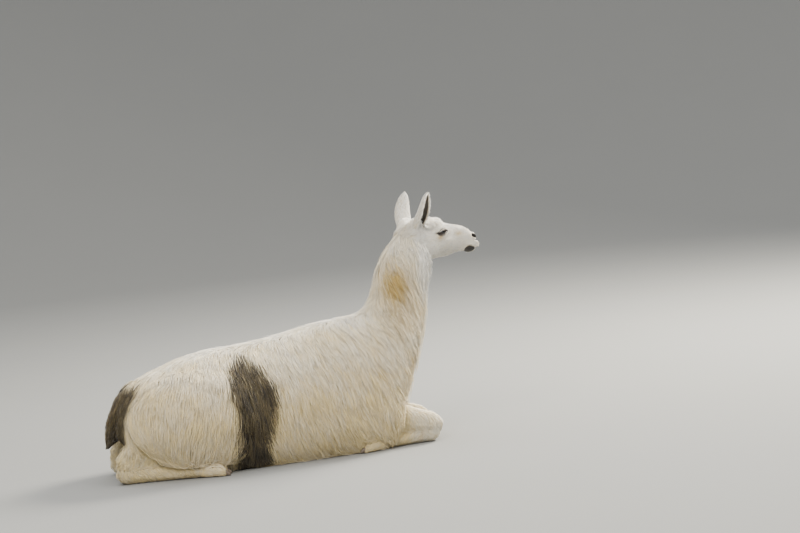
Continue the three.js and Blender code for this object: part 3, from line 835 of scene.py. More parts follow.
@dataclass(frozen=True)
class EyeFinish:
    """A wet, nearly black eye with a dark brown iris round a level, oval pupil."""

    name: str = "wet_eye"

    def make(self) -> bpy.types.Material:
        """The material."""
        f = Finish(self.name)
        fleck = f.grain(900.0, 2.0)
        iris = f.mix(rgb(0.010, 0.005, 0.003), rgb(0.022, 0.011, 0.006), fleck)
        colour = f.mix(iris, rgb(0.002, 0.002, 0.002), f.attribute("pupil"))
        colour = f.mix(colour, rgb(0.030, 0.018, 0.014), f.attribute("white"))
        return f.done({"Base Color": colour, "Roughness": 0.08, "Specular IOR Level": 0.4, "Coat Weight": 0.2,
                       "Coat Roughness": 0.03})


@dataclass(frozen=True)
class HornFinish:
    """Dull dark horn with fine growth rings."""

    name: str = "nail_horn"

    def make(self) -> bpy.types.Material:
        """The material."""
        f = Finish(self.name)
        rings = f.grain(160.0, 4.0, (1.0, 0.25, 0.25))
        colour = f.mix(rgb(0.035, 0.026, 0.020), rgb(0.17, 0.125, 0.085), rings)
        return f.done({"Base Color": colour, "Roughness": rings * 0.25 + 0.4,
                       "Normal": f.bump(rings, 0.4, 0.001)})


@dataclass(frozen=True)
class LidFinish:
    """Moist dark skin of the lids' edges."""

    name: str = "lid_skin"

    def make(self) -> bpy.types.Material:
        """The material."""
        f = Finish(self.name)
        fine = f.grain(700.0, 3.0)
        colour = f.mix(rgb(0.020, 0.015, 0.013), rgb(0.055, 0.042, 0.036), fine)
        return f.done({"Base Color": colour, "Roughness": 0.42, "Normal": f.bump(fine, 0.3, 0.0008)})


@dataclass(frozen=True)
class StudioFinish:
    """Plain matte paper of the floor and backdrop, with the faintest unevenness."""

    name: str
    colour: tuple

    def make(self) -> bpy.types.Material:
        """The material."""
        f = Finish(self.name)
        dim = tuple(c * 0.97 for c in self.colour[:3]) + (1.0,)
        return f.done({"Base Color": f.mix(dim, self.colour, f.grain(1.5, 2.0)), "Roughness": 0.9,
                       "Specular IOR Level": 0.1})


# ---------------------------------------------------------------- markings
# Soft spots of colour: strength, and centre and radii in mm. Rust and creases lie in the chest frame, and
# the others on each side of the head, in its own.
RUST = (
    (0.95, (212, -100, 640), (60, 80, 80)),
    (0.34, (205, -120, 540), (58, 90, 120)),
    (0.12, (40, -200, 330), (190, 120, 110)),
    (0.12, (60, 200, 300), (220, 120, 130)),
)
CREASES = ((1.0, (238, -110, 344), (30, 60, 9)), (0.5, (120, -190, 300), (70, 60, 8)))
TEARS = ((1.0, (127, 65, 8), (16, 24, 8)), (0.6, (122, 66, -1), (12, 22, 9)))
NOSE_RUST = ((0.7, (226, 40, 17), (15, 30, 9)),)
EYE_CORNERS = ((0.6, (169, 51, 19), (4, 18, 3.4)), (0.8, (109, 62, 23), (7, 20, 3.6)))


def spots(rows: Iterable, p: Array) -> Array:
    """The sum of soft spots at points."""
    return sum(strength * np.exp(-np.sum(((p - np.array(at) * MM) / (np.array(wide) * MM)) ** 2, axis=-1))
               for strength, at, wide in rows)


@dataclass(frozen=True)
class Markings:
    """Where the coat is dark, tan, rusty, rosy or bare, as numbers from 0 to 1 by place on the body.

    The dark flank patch lies between two edges given as x by height. Its edges and the others' are
    blurred and made ragged by noise. The bare mask also carries painted shade over the front of the face.
    """

    edge: float = 0.012
    heights: tuple = (0, 169, 198, 228, 241, 285, 307, 330, 345, 356, 390, 403, 414, 440, 450)
    ahead: tuple = (-368, -354, -342, -320, -316, -314, -323, -331, -342, -366, -366, -387, -407, -424, -430)
    behind_heights: tuple = (0, 183, 214, 250, 275, 308, 352, 392, 422, 440, 450)
    behind: tuple = (-500, -496, -494, -494, -494, -502, -509, -505, -469, -432, -428)

    def flank(self, p: Array) -> Array:
        """The dark patch on each flank, which is a little smaller and further back on the left."""
        left = p[..., 1] > 0
        x = p[..., 0] + np.where(left, 0.03, 0.0)
        z = p[..., 2] + np.where(left, 0.03, 0.0)
        wild = (noise(p, 0.022, 5) - 0.5) * 0.034
        ahead = np.interp(z, np.array(self.heights) * MM, np.array(self.ahead) * MM)
        behind = np.interp(z, np.array(self.behind_heights) * MM, np.array(self.behind) * MM)
        inside = np.minimum(np.minimum(ahead - x, x - behind), 0.446 - z) + wild
        return step(-self.edge, self.edge, inside) * step(0.05, 0.12, np.abs(p[..., 1]))

    def rump(self, p: Array) -> Array:
        """The dark back of the rump below the tail's root, with the tail."""
        x, y, z = p[..., 0], np.abs(p[..., 1]), p[..., 2]
        limit = np.interp(z, np.array([0, 130, 300, 345]) * MM, np.array([-910, -902, -838, -846]) * MM)
        wild = (noise(p, 0.02, 8) - 0.5) * 0.03
        tail = step(-0.835, -0.86, x) * step(0.075, 0.06, y)
        low = np.maximum(step(0.125, 0.15, z), tail)
        patch = step(-self.edge, self.edge, limit - x + wild) * step(0.15, 0.11, y)
        return patch * step(0.375, 0.345, z) * low

    def rust(self, p: Array, h: Array, on_head: Array) -> Array:
        """Tan on the neck, in its creases and by the eyes, with faint streaks low on the coat.

        Args:
            p: points of the chest frame.
            h: the same in the head's frame.
            on_head: 1 on the head and 0 off it.

        Returns:
            The mask.
        """
        level = np.stack([h[..., 0], np.abs(h[..., 1]), h[..., 2]], -1)
        right = step(0.01, -0.01, h[..., 1])
        tan = spots(RUST, p) + 0.8 * spots(CREASES, p)
        tan = np.clip(tan + on_head * (0.6 * spots(TEARS, level) + spots(NOSE_RUST, level) * right), 0, 1)
        streaks = step(0.60, 0.80, noise(p * [1.6, 1.0, 0.55], 0.016, 14)) * (1 - on_head)
        tan = tan + 0.30 * streaks * step(0.45, 0.34, p[..., 2]) * step(-0.80, -0.5, p[..., 0])
        return np.clip(tan * (0.75 + 0.5 * noise(p, 0.016, 3)), 0, 1)

    def bare(self, h: Array) -> Array:
        """The dark bare skin of lids, lower lip and nostrils, darker eye corners and a faint painted shade
        over the front of the face, at points of the head's frame.
        """
        x, y, z = h[..., 0], np.abs(h[..., 1]), h[..., 2]
        lids = step(-0.0064, -0.0040, almond(x - EYE_AT[0], z - EYE_AT[2])) * step(0.02, 0.035, y)
        lids = lids * step(0.1095, 0.113, x) * step(0.1735, 0.170, x)
        line = mouth_line(x)
        lip = step(1.08, 0.90, np.sqrt(lip_gap(x, z))) * step(line + 0.0008, line - 0.0012, z)
        nose = step(0.0100, 0.0080, nostril_gap(h)) * step(0.006, 0.012, y)
        corner = spots(EYE_CORNERS, np.stack([x, y, z], -1))
        # the 0.09 from ahead of the eyes on is painted shade, which darkens the muzzle as if in shadow
        return np.clip(lids + 0.97 * lip + nose + corner + 0.09 * step(0.16, 0.25, x), 0, 1)

    def warmth(self, p: Array, on_head: Array) -> Array:
        """How creamy the white is: most of all low on the body, and less on back, head and knees."""
        x, y, z = p[..., 0], np.abs(p[..., 1]), p[..., 2]
        top = step(0.13, 0.05, y) * step(0.36, 0.44, z) * step(0.2, 0.0, x)
        knee = step(0.18, 0.24, x) * step(0.24, 0.18, z)
        warm = 0.72 + 0.34 * step(0.40, 0.12, z) - 0.36 * top - 0.25 * step(0.60, 0.80, z)
        warm = (1 - 0.8 * on_head - 0.45 * knee) * (warm + 0.10 * step(-0.48, -0.62, x))
        return np.clip(warm, 0, 1)

    def numbers(self, p: Array) -> dict[str, Array]:
        """The masks at points of the chest frame.

        Args:
            p: the points.

        Returns:
            A number a point for dark, tan, rose, bare and warm.
        """
        h = to_head(p)
        x, z = h[..., 0], h[..., 2]
        on_head = step(-0.01, 0.03, x) * step(0.54, 0.60, p[..., 2])
        return {
            "dark": np.clip(np.maximum(self.flank(p), self.rump(p)), 0, 1),
            "tan": self.rust(p, h, on_head),
            "rose": 0.7 * on_head * step(0.19, 0.23, z) * step(0.10, 0.05, np.abs(x - 0.06)),
            "bare": on_head * self.bare(h),
            "warm": self.warmth(p, on_head),
        }


MARKINGS = Markings()


# ---------------------------------------------------------------- the skin
@dataclass
class Body:
    """The lofts that all the coats grow on, and the depth of the skin in each."""

    trunk: Loft = field(default_factory=trunk_loft)
    head: Loft = field(default_factory=head_loft)
    tail: Loft = field(default_factory=lambda: limb_loft(TAIL_ROWS, Side.LEFT, 0.026))
    haunch: dict = field(default_factory=lambda: both_sides(HAUNCH_ROWS, 0.044))
    forearm: dict = field(default_factory=lambda: both_sides(FOREARM_ROWS, 0.014))
    fore_cannon: dict = field(default_factory=lambda: both_sides(FORE_CANNON_ROWS, 0.010))
    shank: dict = field(default_factory=lambda: both_sides(SHANK_ROWS, 0.014))
    hind_cannon: dict = field(default_factory=lambda: both_sides(HIND_CANNON_ROWS, 0.010))
    toes: list = field(default_factory=toe_lofts)

    @property
    def limbs(self) -> list[Loft]:
        """The parts of the legs with short coats."""
        parts = (self.forearm, self.fore_cannon, self.shank, self.hind_cannon)
        return [loft for part in parts for loft in part.values()]

    def skin_shells(self) -> list[Patch]:
        """The closed surfaces whose soft union is the skin."""
        deep = [(self.trunk, 150, 110), (self.tail, 50, 36)]
        deep += [(loft, 60, 60) for loft in self.haunch.values()]
        shells = [loft.shell(rings, around, fleece_depth(loft)) for loft, rings, around in deep]
        shells += [loft.shell(44, 34, limb_depth(loft)) for loft in self.limbs]
        shells += [loft.shell(20, 22, even_depth(TOE_DEPTH)) for loft in self.toes]
        shells.append(self.head.shell(100, 80, lambda u, v: HEAD_CORE * self.head.coat_at(u, 0 * v + 0.5)))
        for m in (1, -1):
            shells.append(egg(EYE_AT * [1, m, 1], EYE_SOCKET, -EYE_SLANT * m))
            shells += [egg(np.array(at) * MM * [1, m, 1], np.array(radii) * MM)
                       for at, radii in HEAD_SWELLINGS]
        return shells


class SoftUnion:
    """A soft union of closed surfaces: -k ln(sum of exp(-d / k)), with d the distance to each."""

    def __init__(self, shells: list[Patch]) -> None:
        """Builds a search tree for each surface."""
        self.shells = shells
        self.trees = [BVHTree.FromPolygons(s.points.tolist(), s.triangles().tolist()) for s in shells]

    @staticmethod
    def softness(p: Array) -> Array:
        """How far the union rounds a corner: little on the face and feet."""
        h = to_head(p)
        face = step(0.05, 0.12, h[..., 0])
        foot = step(0.075, 0.045, p[..., 2])
        thigh = step(0.10, 0.20, p[..., 2]) * step(-0.34, -0.46, p[..., 0])
        return 0.012 - 0.0090 * np.maximum(face, foot) + 0.022 * thigh

    def drawn(self, points: Array, rounds: int) -> tuple[Array, Array]:
        """Moves points onto the union's surface by Newton steps.

        Args:
            points: points near the surface.
            rounds: number of steps.

        Returns:
            The points and the outward directions there.
        """
        p = points.copy()
        slope = np.zeros_like(p)
        for _ in range(rounds):
            k = self.softness(p)
            weight, total = np.zeros(len(p)), np.zeros_like(p)
            for shell, tree in zip(self.shells, self.trees):
                low, high = shell.points.min(0) - 0.06, shell.points.max(0) + 0.06
                near = np.flatnonzero(np.all((p > low) & (p < high), axis=1))
                find = tree.find_nearest
                found = [find(q) for q in p[near].tolist()]
                at = np.array([f[0] for f in found]).reshape(-1, 3)
                out = np.array([f[1] for f in found]).reshape(-1, 3)
                gap = p[near] - at
                far = np.linalg.norm(gap, axis=1)
                sign = np.where(np.sum(gap * out, axis=1) < 0, -1.0, 1.0)
                way = np.where(far[:, None] > 1e-5, gap * sign[:, None] / np.maximum(far, TINY)[:, None], out)
                w = np.exp(-np.clip(sign * far / k[near], -40, 40))
                weight[near] += w
                total[near] += w[:, None] * way
            weight = np.maximum(weight, 1e-12)
            slope = total / weight[:, None]
            height = -k * np.log(weight)
            steep = np.maximum(np.sum(slope**2, axis=1), 0.2)
            p -= np.clip(height, -0.02, 0.02)[:, None] * slope / steep[:, None]
        return p, unit(slope)


@dataclass
class Skin:
    """The one skin: a soft union of the lofts, remeshed evenly, finer on the face and feet, with the face
    carved by moving its points."""

    body: Body
    voxel: float = 0.0084

    def remeshed(self, shells: list[Patch]) -> bpy.types.Mesh:
        """The joined surfaces as one closed mesh of even squares."""
        patch = joined(shells)
        mesh = bpy.data.meshes.new("skin_start")
        mesh.from_pydata(patch.points.tolist(), [], patch.quads.tolist() + patch.tris.tolist())
        start = bpy.data.objects.new("skin_start", mesh)
        bpy.context.scene.collection.objects.link(start)
        remesh = start.modifiers.new("even", "REMESH")
        remesh.mode = "VOXEL"
        remesh.voxel_size = self.voxel
        graph = bpy.context.evaluated_depsgraph_get()
        even = bpy.data.meshes.new_from_object(start.evaluated_get(graph))
        bpy.data.objects.remove(start)
        return even

    @staticmethod
    def refined(mesh: bpy.types.Mesh) -> tuple[Array, Array, Array]:
        """Splits the faces of head and feet once, and those round the eyes, nostrils and mouth again.

        Args:
            mesh: the even mesh, which is used up.

        Returns:
            The points, quads and triangles.
        """
        def head_or_foot(c: Array) -> Array:
            fore, hind = (np.abs(c[:, 0] - x) < 0.09 for x in (0.04, -0.585))
            foot = (c[:, 2] < 0.07) & (np.abs(c[:, 1]) > 0.09) & (fore | hind)
            return (to_head(c)[:, 0] > 0.02) | foot

        def fine_face(c: Array) -> Array:
            h = to_head(c)
            eye = np.linalg.norm(h * [1, 0, 1] - EYE_AT * [1, 0, 1], axis=1) < 0.036
            return (eye & (h[:, 0] > 0.1)) | (h[:, 0] > 0.243)

        work = bmesh.new()
        work.from_mesh(mesh)
        for chosen in (head_or_foot, fine_face):
            work.faces.ensure_lookup_table()
            centres = np.array([f.calc_center_median()[:] for f in work.faces])
            picked = np.flatnonzero(chosen(centres))
            edges = {e for i in picked for e in work.faces[i].edges}
            bmesh.ops.subdivide_edges(work, edges=list(edges), cuts=1, use_grid_fill=True)
            bmesh.ops.triangulate(work, faces=[f for f in work.faces if len(f.verts) > 4])
        work.verts.index_update()
        points = np.array([v.co[:] for v in work.verts])
        corners = [[v.index for v in f.verts] for f in work.faces]
        work.free()
        quads, tris = (np.array([c for c in corners if len(c) == n]).reshape(-1, n) for n in (4, 3))
        return points, quads, tris

    @staticmethod
    def relaxed(points: Array, patch: Patch, amount: float) -> Array:
        """Points moved part of the way to the middle of their neighbours."""
        t, n = patch.triangles(), len(points)
        a, b = t.T.ravel(), np.roll(t, -1, axis=1).T.ravel()
        count = np.bincount(a, minlength=n) + np.bincount(b, minlength=n)
        total = np.stack([np.bincount(a, points[b, i], n) + np.bincount(b, points[a, i], n)
                          for i in range(3)], -1)
        return points + amount * (total / np.maximum(count, 1)[:, None] - points)

    @staticmethod
    def carved(points: Array, out: Array) -> Array:
        """The face: lid openings, nostrils, the line and cleft of the lips, and the hollows of the skull.

        Args:
            points: the skin's points.
            out: outward directions there.

        Returns:
            The moved points.
        """
        h = to_head(points)
        x, y, z = h[:, 0], h[:, 1], h[:, 2]
        far = np.abs(y)
        head = step(0.03, 0.07, x)
        move = np.zeros(len(points))
        for height, at, wide in FACE_FORMS:
            move += height * np.exp(-sum(((k - c) / r) ** 2 for k, c, r in zip((x, far, z), at, wide)))
        line = mouth_line(x)
        mouth = step(0.246, 0.262, x)
        move -= 0.0042 * mouth * hump(z - line, 0.0019)
        move += 0.0014 * mouth * hump(z - line - 0.0055, 0.0042)
        cleft = step(0.292, 0.310, x) * hump(y, 0.0021) * step(-0.043, -0.038, z) * step(0.008, -0.004, z)
        move -= 0.0036 * cleft
        gap = nostril_gap(h)
        rim = 0.0022 * hump(gap - 0.0108, 0.0028)
        move += step(0.006, 0.012, far) * (rim - 0.0110 * step(0.0080, 0.0040, gap))
        h = h + (move * head)[:, None] * (out @ HEAD_TURN)
        front = 0.3085 - 0.005 * ((z + 0.0545) / 0.010) ** 2
        behind = step(line - 0.0002, line - 0.0022, z) * step(0.285, 0.300, x)
        h[:, 0] -= behind * np.maximum(h[:, 0] - front, 0.0)
        profile = np.array(MUZZLE_ROWS) * MM
        limit = np.interp(z, profile[:, 0], profile[:, 1]) - 5 * y**2
        h[:, 0] -= 0.85 * step(-0.0445, -0.0425, z) * np.maximum(h[:, 0] - limit, 0.0)
        opening = step(-0.0010, 0.0012, almond(x - EYE_AT[0], z - EYE_AT[2]))
        sunk = opening * (np.abs(x - EYE_AT[0]) < 0.027) * (far > 0.03)
        h[:, 1] -= np.sign(y) * 0.016 * sunk
        return to_body(h)

    def laid(self, points: Array, height: Array) -> tuple[Array, Array]:
        """Points set at a height over the nearest place of the skin, and the smooth directions outwards."""
        find = self.tree.find_nearest
        found = [find(p) for p in points.reshape(-1, 3).tolist()]
        at = np.array([f[0] for f in found]).reshape(points.shape)
        out = self.smooth[np.array([f[2] for f in found])].reshape(points.shape)
        return at + out * height[..., None], out

    def smoothed(self, triangles: Array) -> Array:
        """The directions outwards of the triangles, evened out over the skin."""
        points = self.patch.points
        a, b, c = (points[triangles[:, i]] for i in range(3))
        way = np.zeros_like(points)
        for i in range(3):
            np.add.at(way, triangles[:, i], np.cross(b - a, c - a))
        way = unit(way)
        for _ in range(3):
            way = unit(self.relaxed(way, self.patch, 0.8))
        return unit(way[triangles].sum(axis=1))

    def make(self, material: bpy.types.Material) -> "Skin":
        """Builds the skin with its ears and keeps a search tree of it."""
        shells = self.body.skin_shells()
        union = SoftUnion(shells)
        points, quads, tris = self.refined(self.remeshed(shells))
        patch = Patch(points, quads, tris)
        points, _ = union.drawn(points, 2)
        points, _ = union.drawn(self.relaxed(points, patch, 0.5), 1)
        points, out = union.drawn(self.relaxed(points, patch, 0.5), 2)
        points = self.carved(points, out)
        points[:, 2] = np.maximum(points[:, 2], FLOOR_LIFT)
        self.patch = Patch(points, quads, tris).outward()
        triangles = self.patch.triangles()
        self.tree = BVHTree.FromPolygons(points.tolist(), triangles.tolist())
        self.smooth = self.smoothed(triangles)
        whole = joined([self.patch] + [Ear(side).patch() for side in Side])
        values = MARKINGS.numbers(whole.points)
        # the ears' inner walls go nearly to the bare colour: darker skin with painted shade of the rolled
        # hollow
        inner = np.concatenate([np.zeros(len(points))] + [Ear(side).inner() for side in Side])
        values["bare"] = np.maximum(values["bare"], 0.94 * inner)
        values["tone"] = noise(whole.points, 0.01, 11)
        # a low tip counts the skin as lying at the roots, so it takes the coat's painted root shade too
        values["tip"] = np.full(len(whole.points), 0.15)
        piece = make_piece("skin", whole, material, values)
        flesh = ["torso", "neck", "head", "tail"]
        for s in Side:
            flesh += [f"ear_{s.word}", f"hind_leg_{s.word}", f"hind_foot_{s.word}",
                      f"fore_leg_{s.word}", f"fore_foot_{s.word}"]
        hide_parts(*flesh)
        return self


# ---------------------------------------------------------------- ears
@dataclass(frozen=True)
class Ear:
    """A long ear: a leaf rolled round its own axis, open ahead and outwards, its tip turned in.

    A section at s from root (0) to tip (1) is an arc of half_turn(s) to either side of the back, with an
    outer and an inner wall.
    """

    side: Side
    length: float = 0.163
    half: float = 0.0300
    wall: float = 0.0042
    fur: float = 0.0012  # how far the outer wall lies inside the outline
    rings: int = 46
    arc: int = 26

    def frame(self) -> tuple[Array, Array, Array]:
        """The ear's axis, the way that it opens and the way across, in the head's frame."""
        m = self.side.value
        axis = unit(np.array([math.tan(math.radians(11.5)), m * math.tan(math.radians(23)), 1.0]))
        facing = math.radians(60)
        way = np.array([math.cos(facing), m * math.sin(facing), 0.0])
        way = unit(way - axis * np.dot(way, axis))
        return axis, way, np.cross(axis, way)

    def centre(self, s: Array) -> Array:
        """The line inside the roll, bowed outwards, in the head's frame."""
        bow = 0.026 * np.sin(np.pi * s) - 0.002 * s
        m = self.side.value
        root = np.array([0.027, 0.042 * m, 0.038])
        return root + self.frame()[0] * (self.length * s)[..., None] + bow[..., None] * [0, m, 0]

    def radius(self, s: Array) -> Array:
        """Half the ear's width, fullest at 0.6 of its length and rounded off to the tip."""
        full = 0.86 + 0.14 * np.sin(np.pi / 2 * np.minimum(1.0, s / 0.35))
        return self.half * full * np.sqrt(1 - 0.985 * np.maximum(0.0, (s - 0.30) / 0.70) ** 2.1)

    def half_turn(self, s: Array) -> Array:
        """How far the leaf is rolled to either side of its back, in radians."""
        return np.radians(120 - 44 * s)

    def along(self, s: Array, a: Array) -> Array:
        """Unit vectors towards the tip, over the surface."""
        return unit(self.point(np.minimum(s + 0.02, 1.0), a) - self.point(s - 0.02, a))

    def outwards(self, s: Array, a: Array) -> Array:
        """Unit vectors out of the outer wall."""
        return unit(self.point(s, a, -0.01) - self.point(s, a))

    def point(self, s: Array, a: Array, depth: Array = 0.0) -> Array:
        """The point at s and angle a (-1 to 1 from edge to edge over the back), in the chest frame."""
        _, way, across = self.frame()
        turn = self.half_turn(s) * a
        r = np.maximum(self.radius(s) - depth, 0.0004)[..., None]
        p = self.centre(s) - 0.8 * r * np.cos(turn)[..., None] * way + r * np.sin(turn)[..., None] * across
        return to_body(p)

    def patch(self) -> Patch:
        """The closed leaf: outer wall one way round and inner wall back."""
        s = np.linspace(0, 1, self.rings)
        a = np.linspace(-1, 1, self.arc)
        grid_s, grid_a = np.meshgrid(s, a, indexing="ij")
        wall = self.wall * (1 - 0.5 * grid_s)
        outer = self.point(grid_s, grid_a, self.fur)
        inner = self.point(grid_s, grid_a[:, ::-1], self.fur + wall)
        rim = self.point(s[:, None], np.array([[1.03, -1.03]]), self.fur + 0.5 * wall[:, :1])
        return tube(np.concatenate([outer, rim[:, :1], inner, rim[:, 1:]], axis=1))

    def inner(self) -> Array:
        """1 at the points of the inner wall, whose dark is its darker skin together with painted shade inside
        the rolled ear.
        """
        deep = step(1.02, 0.86, np.abs(np.linspace(-1, 1, self.arc)))
        one = np.concatenate([np.zeros(self.arc + 1), deep, [0.0]])
        return np.concatenate([np.tile(one, self.rings), [0.0, 0.0]])


# ---------------------------------------------------------------- tufts
@dataclass(frozen=True)
class Tufts:
    """How the tufts of one coat are made.

    Sizes in metres. rings are places along a tuft, wide the part of its full width there and lift the
    part of its rise from the skin (0) to the coat's outline (1) there.
    """

    apart: float
    length: float
    half: float
    rings: tuple = (0.0, 0.5, 1.0)
    wide: tuple = (0.8, 0.8)
    lift: tuple = (-0.25, 0.6, 1.0)
    thick: float = 0.35
    wave: float = 0.002
    clump: float = 0.4
    clump_apart: float = 0.022
    stray: float = 0.25
    rise: tuple = (0.4, 1.0)
    loose: float = 0.0  # the part of the tufts that stand out from the rest


@dataclass
class Growth:
    """Tufts grown on one zone: their centre lines and outward directions, the places that their markings
    are read at, and their places on the zone."""

    line: Array
    out: Array
    seen: Array
    place: Array
    style: Tufts
    tone: Array
    soft: float = 0.7
    # painted shade: how far all the tufts darken towards the bare colour
    painted_shade: float = 0.0


def scatter(loft: Loft, span: tuple, apart: float, rng: np.random.Generator) -> tuple[Array, Array]:
    """Places spread evenly over a loft: rows along it, even steps round it, with a little scatter.

    Args:
        loft: the loft.
        span: first and last station.
        apart: the distance between neighbours.
        rng: random numbers.

    Returns:
        The stations and turns.
    """
    us, vs = np.linspace(span[0], span[1], 300), np.linspace(0, 1, 129)
    grid = loft.point(us[:, None], vs[None, :])
    steps = np.linalg.norm(np.diff(grid, axis=0), axis=-1)
    longest = steps.max(axis=1)
    run = np.concatenate([[0.0], np.cumsum(longest)])
    found_u, found_v = [], []
    for at in np.arange(apart * 0.5, run[-1], apart):
        u = float(np.interp(at, run, us))
        i = min(int(np.searchsorted(us, u)), len(longest) - 1)
        ring = loft.point(u, vs)
        around = np.concatenate([[0.0], np.cumsum(np.linalg.norm(np.diff(ring, axis=0), axis=-1))])
        count = max(3, int(round(around[-1] / apart)))
        places = (np.arange(count) + rng.random() + 0.7 * (rng.random(count) - 0.5)) / count % 1.0
        v = np.interp(places * around[-1], around, vs)
        share = np.interp(v, vs, steps[i] / longest[i])
        keep = rng.random(count) < share
        slope = (us[i + 1] - us[i]) / longest[i]
        found_u.append(u + (0.7 * apart * (rng.random(count) - 0.5) * slope)[keep])
        found_v.append(v[keep])
    return np.concatenate(found_u), np.concatenate(found_v)


def near_skin(points: Array, tree: BVHTree, reach: float) -> Array:
    """Whether each point has the skin within reach."""
    find = tree.find_nearest
    return np.array([find(p, reach)[0] is not None for p in points.tolist()], bool)


@dataclass
class Zone:
    """One stretch of coat on a loft."""

    name: str
    style: Tufts
    heading: Heading
    keep: Callable[[Array], Array]
    seed: int
    loft: Loft | None = None
    span: tuple = (0.0, 0.0)
    skin_depth: Depth | None = None
    proud: float = 0.0
    reach: float = 0.020
    share: Callable[[Array], Array] | None = None  # the part of the full length at a place
    soft: float = 0.42

    def sown(self, skin: Skin, apart: float, kept: bool, rng: np.random.Generator) -> tuple[Array, Array]:
        """Where tufts stand, as stations and turns and as points; kept leaves out the bare places."""
        u, v = scatter(self.loft, self.span, apart, rng)
        at = self.loft.point(u, v)
        if kept:
            root = self.loft.point(u, v, self.skin_depth(u, v))
            good = (root[:, 2] > ROOT_FLOOR) & self.keep(at)
            good[good] = near_skin(root[good], skin.tree, self.reach)
            u, v, at = u[good], v[good], at[good]
        return np.stack([u, v], -1), at

    def run(self, skin: Skin, where: Array, length: Array, turn: Array, rise: Array) -> tuple[Array, Array]:
        """Centre lines that run over the loft along its heading, before they are laid on the skin.

        Args:
            skin: the skin.
            where: where the tufts stand, as sown gives it.
            length: each tuft's length.
            turn: the angle by which each is turned off the heading.
            rise: the part of the full rise that its tip reaches.

        Returns:
            Points by tuft and ring, and their heights over the skin.
        """
        u, v = where.T
        points, heights, gone = [], [], 0.0
        for ring, lift in zip(self.style.rings, self.style.lift):
            at = self.loft.point(u, v)
            out = self.loft.slide(u, v, np.ones_like(at), 0.0)[2]
            way = self.heading(u, v, at, out)
            way = turned(out, unit(way - out * dot(way, out)), turn)
            u, v, _, _ = self.loft.slide(u, v, way, (ring - gone) * length)
            gone = ring
            u = np.clip(u, 0.0, self.loft.last)
            deep = self.skin_depth(u, v)
            points.append(self.loft.point(u, v, deep))
            heights.append((deep + self.proud) * np.where(lift > 0, lift * rise, lift))
        return np.stack(points, 1), np.stack(heights, 1)

    def unwrap(self, where: Array) -> Array:
        """The places of tufts on a flat square."""
        low, high = self.span
        return np.stack([(where[:, 0] - low) / max(high - low, 1e-6), where[:, 1] % 1.0], -1)

    def grow(self, skin: Skin) -> Growth:
        """Scatters roots, keeps those near the skin, and runs tufts and the clumps that they bend to."""
        rng = np.random.default_rng(self.seed)
        style = self.style
        part = self.share or (lambda p: np.ones(len(p)))
        where, at = self.sown(skin, style.apart, True, rng)
        count = len(at)
        low, high = style.rise
        rise = low + (high - low) * rng.random(count)
        rise = np.where(rng.random(count) < style.loose, 1.45, rise)
        turn = 0.5 * style.stray * rng.normal(size=count)
        clump_at, middle = self.sown(skin, style.clump_apart, False, rng)
        bend = 2 * noise(middle, 0.09, self.seed) - 1 + 0.35 * rng.normal(size=len(middle))
        clump_rise = low + (high - low) * rng.random(len(middle))
        length = style.length * (0.85 + 0.3 * rng.random(len(middle))) * part(middle)
        clumps, _ = self.run(skin, clump_at, length, style.stray * bend, clump_rise)
        tree = point_tree(middle)
        mine = np.array([tree.find(p)[1] for p in at.tolist()], int)
        length = style.length * (0.8 + 0.4 * rng.random(count)) * part(at)
        rise = 0.5 * rise + 0.5 * np.maximum(clump_rise[mine], rise - 0.4)
        line, height = self.run(skin, where, length, turn + style.stray * bend[mine], rise)
        s = np.array(style.rings)
        pull = (style.clump * s**1.4)[None, :, None] * (0.6 + 0.8 * rng.random(count))[:, None, None]
        line, out = skin.laid(line + pull * (clumps[mine] - line), height)
        along = unit(np.gradient(line, axis=1))
        across = np.cross(out, along)
        phase = 2 * np.pi * rng.random((count, 1))
        sway = style.wave * s * np.sin(phase + 5.5 * s)
        bob = 0.6 * style.wave * s * np.cos(1.7 * phase + 6.5 * s)
        line = line + across * sway[..., None] + out * bob[..., None]
        flat = np.minimum(line[..., 2] - FLOOR_LIFT, 0.0)
        line[..., 2] = np.maximum(line[..., 2], FLOOR_LIFT + 0.004 * rng.random((count, 1)))
        line[..., 1] += np.sign(line[..., 1]) * np.minimum(-0.35 * flat, 0.02)
        tone = np.clip(0.65 * rng.random(count) + 0.35 * rng.random(len(middle))[mine], 0, 1)
        log.info("zone %s: %d tufts in %d clumps", self.name, count, len(middle))
        seen = line[:, -2] + 0.007 * rng.normal(size=(count, 3)) * min(1.0, style.length / 0.06)
        return Growth(line, out, seen, self.unwrap(where), style, tone, self.soft)


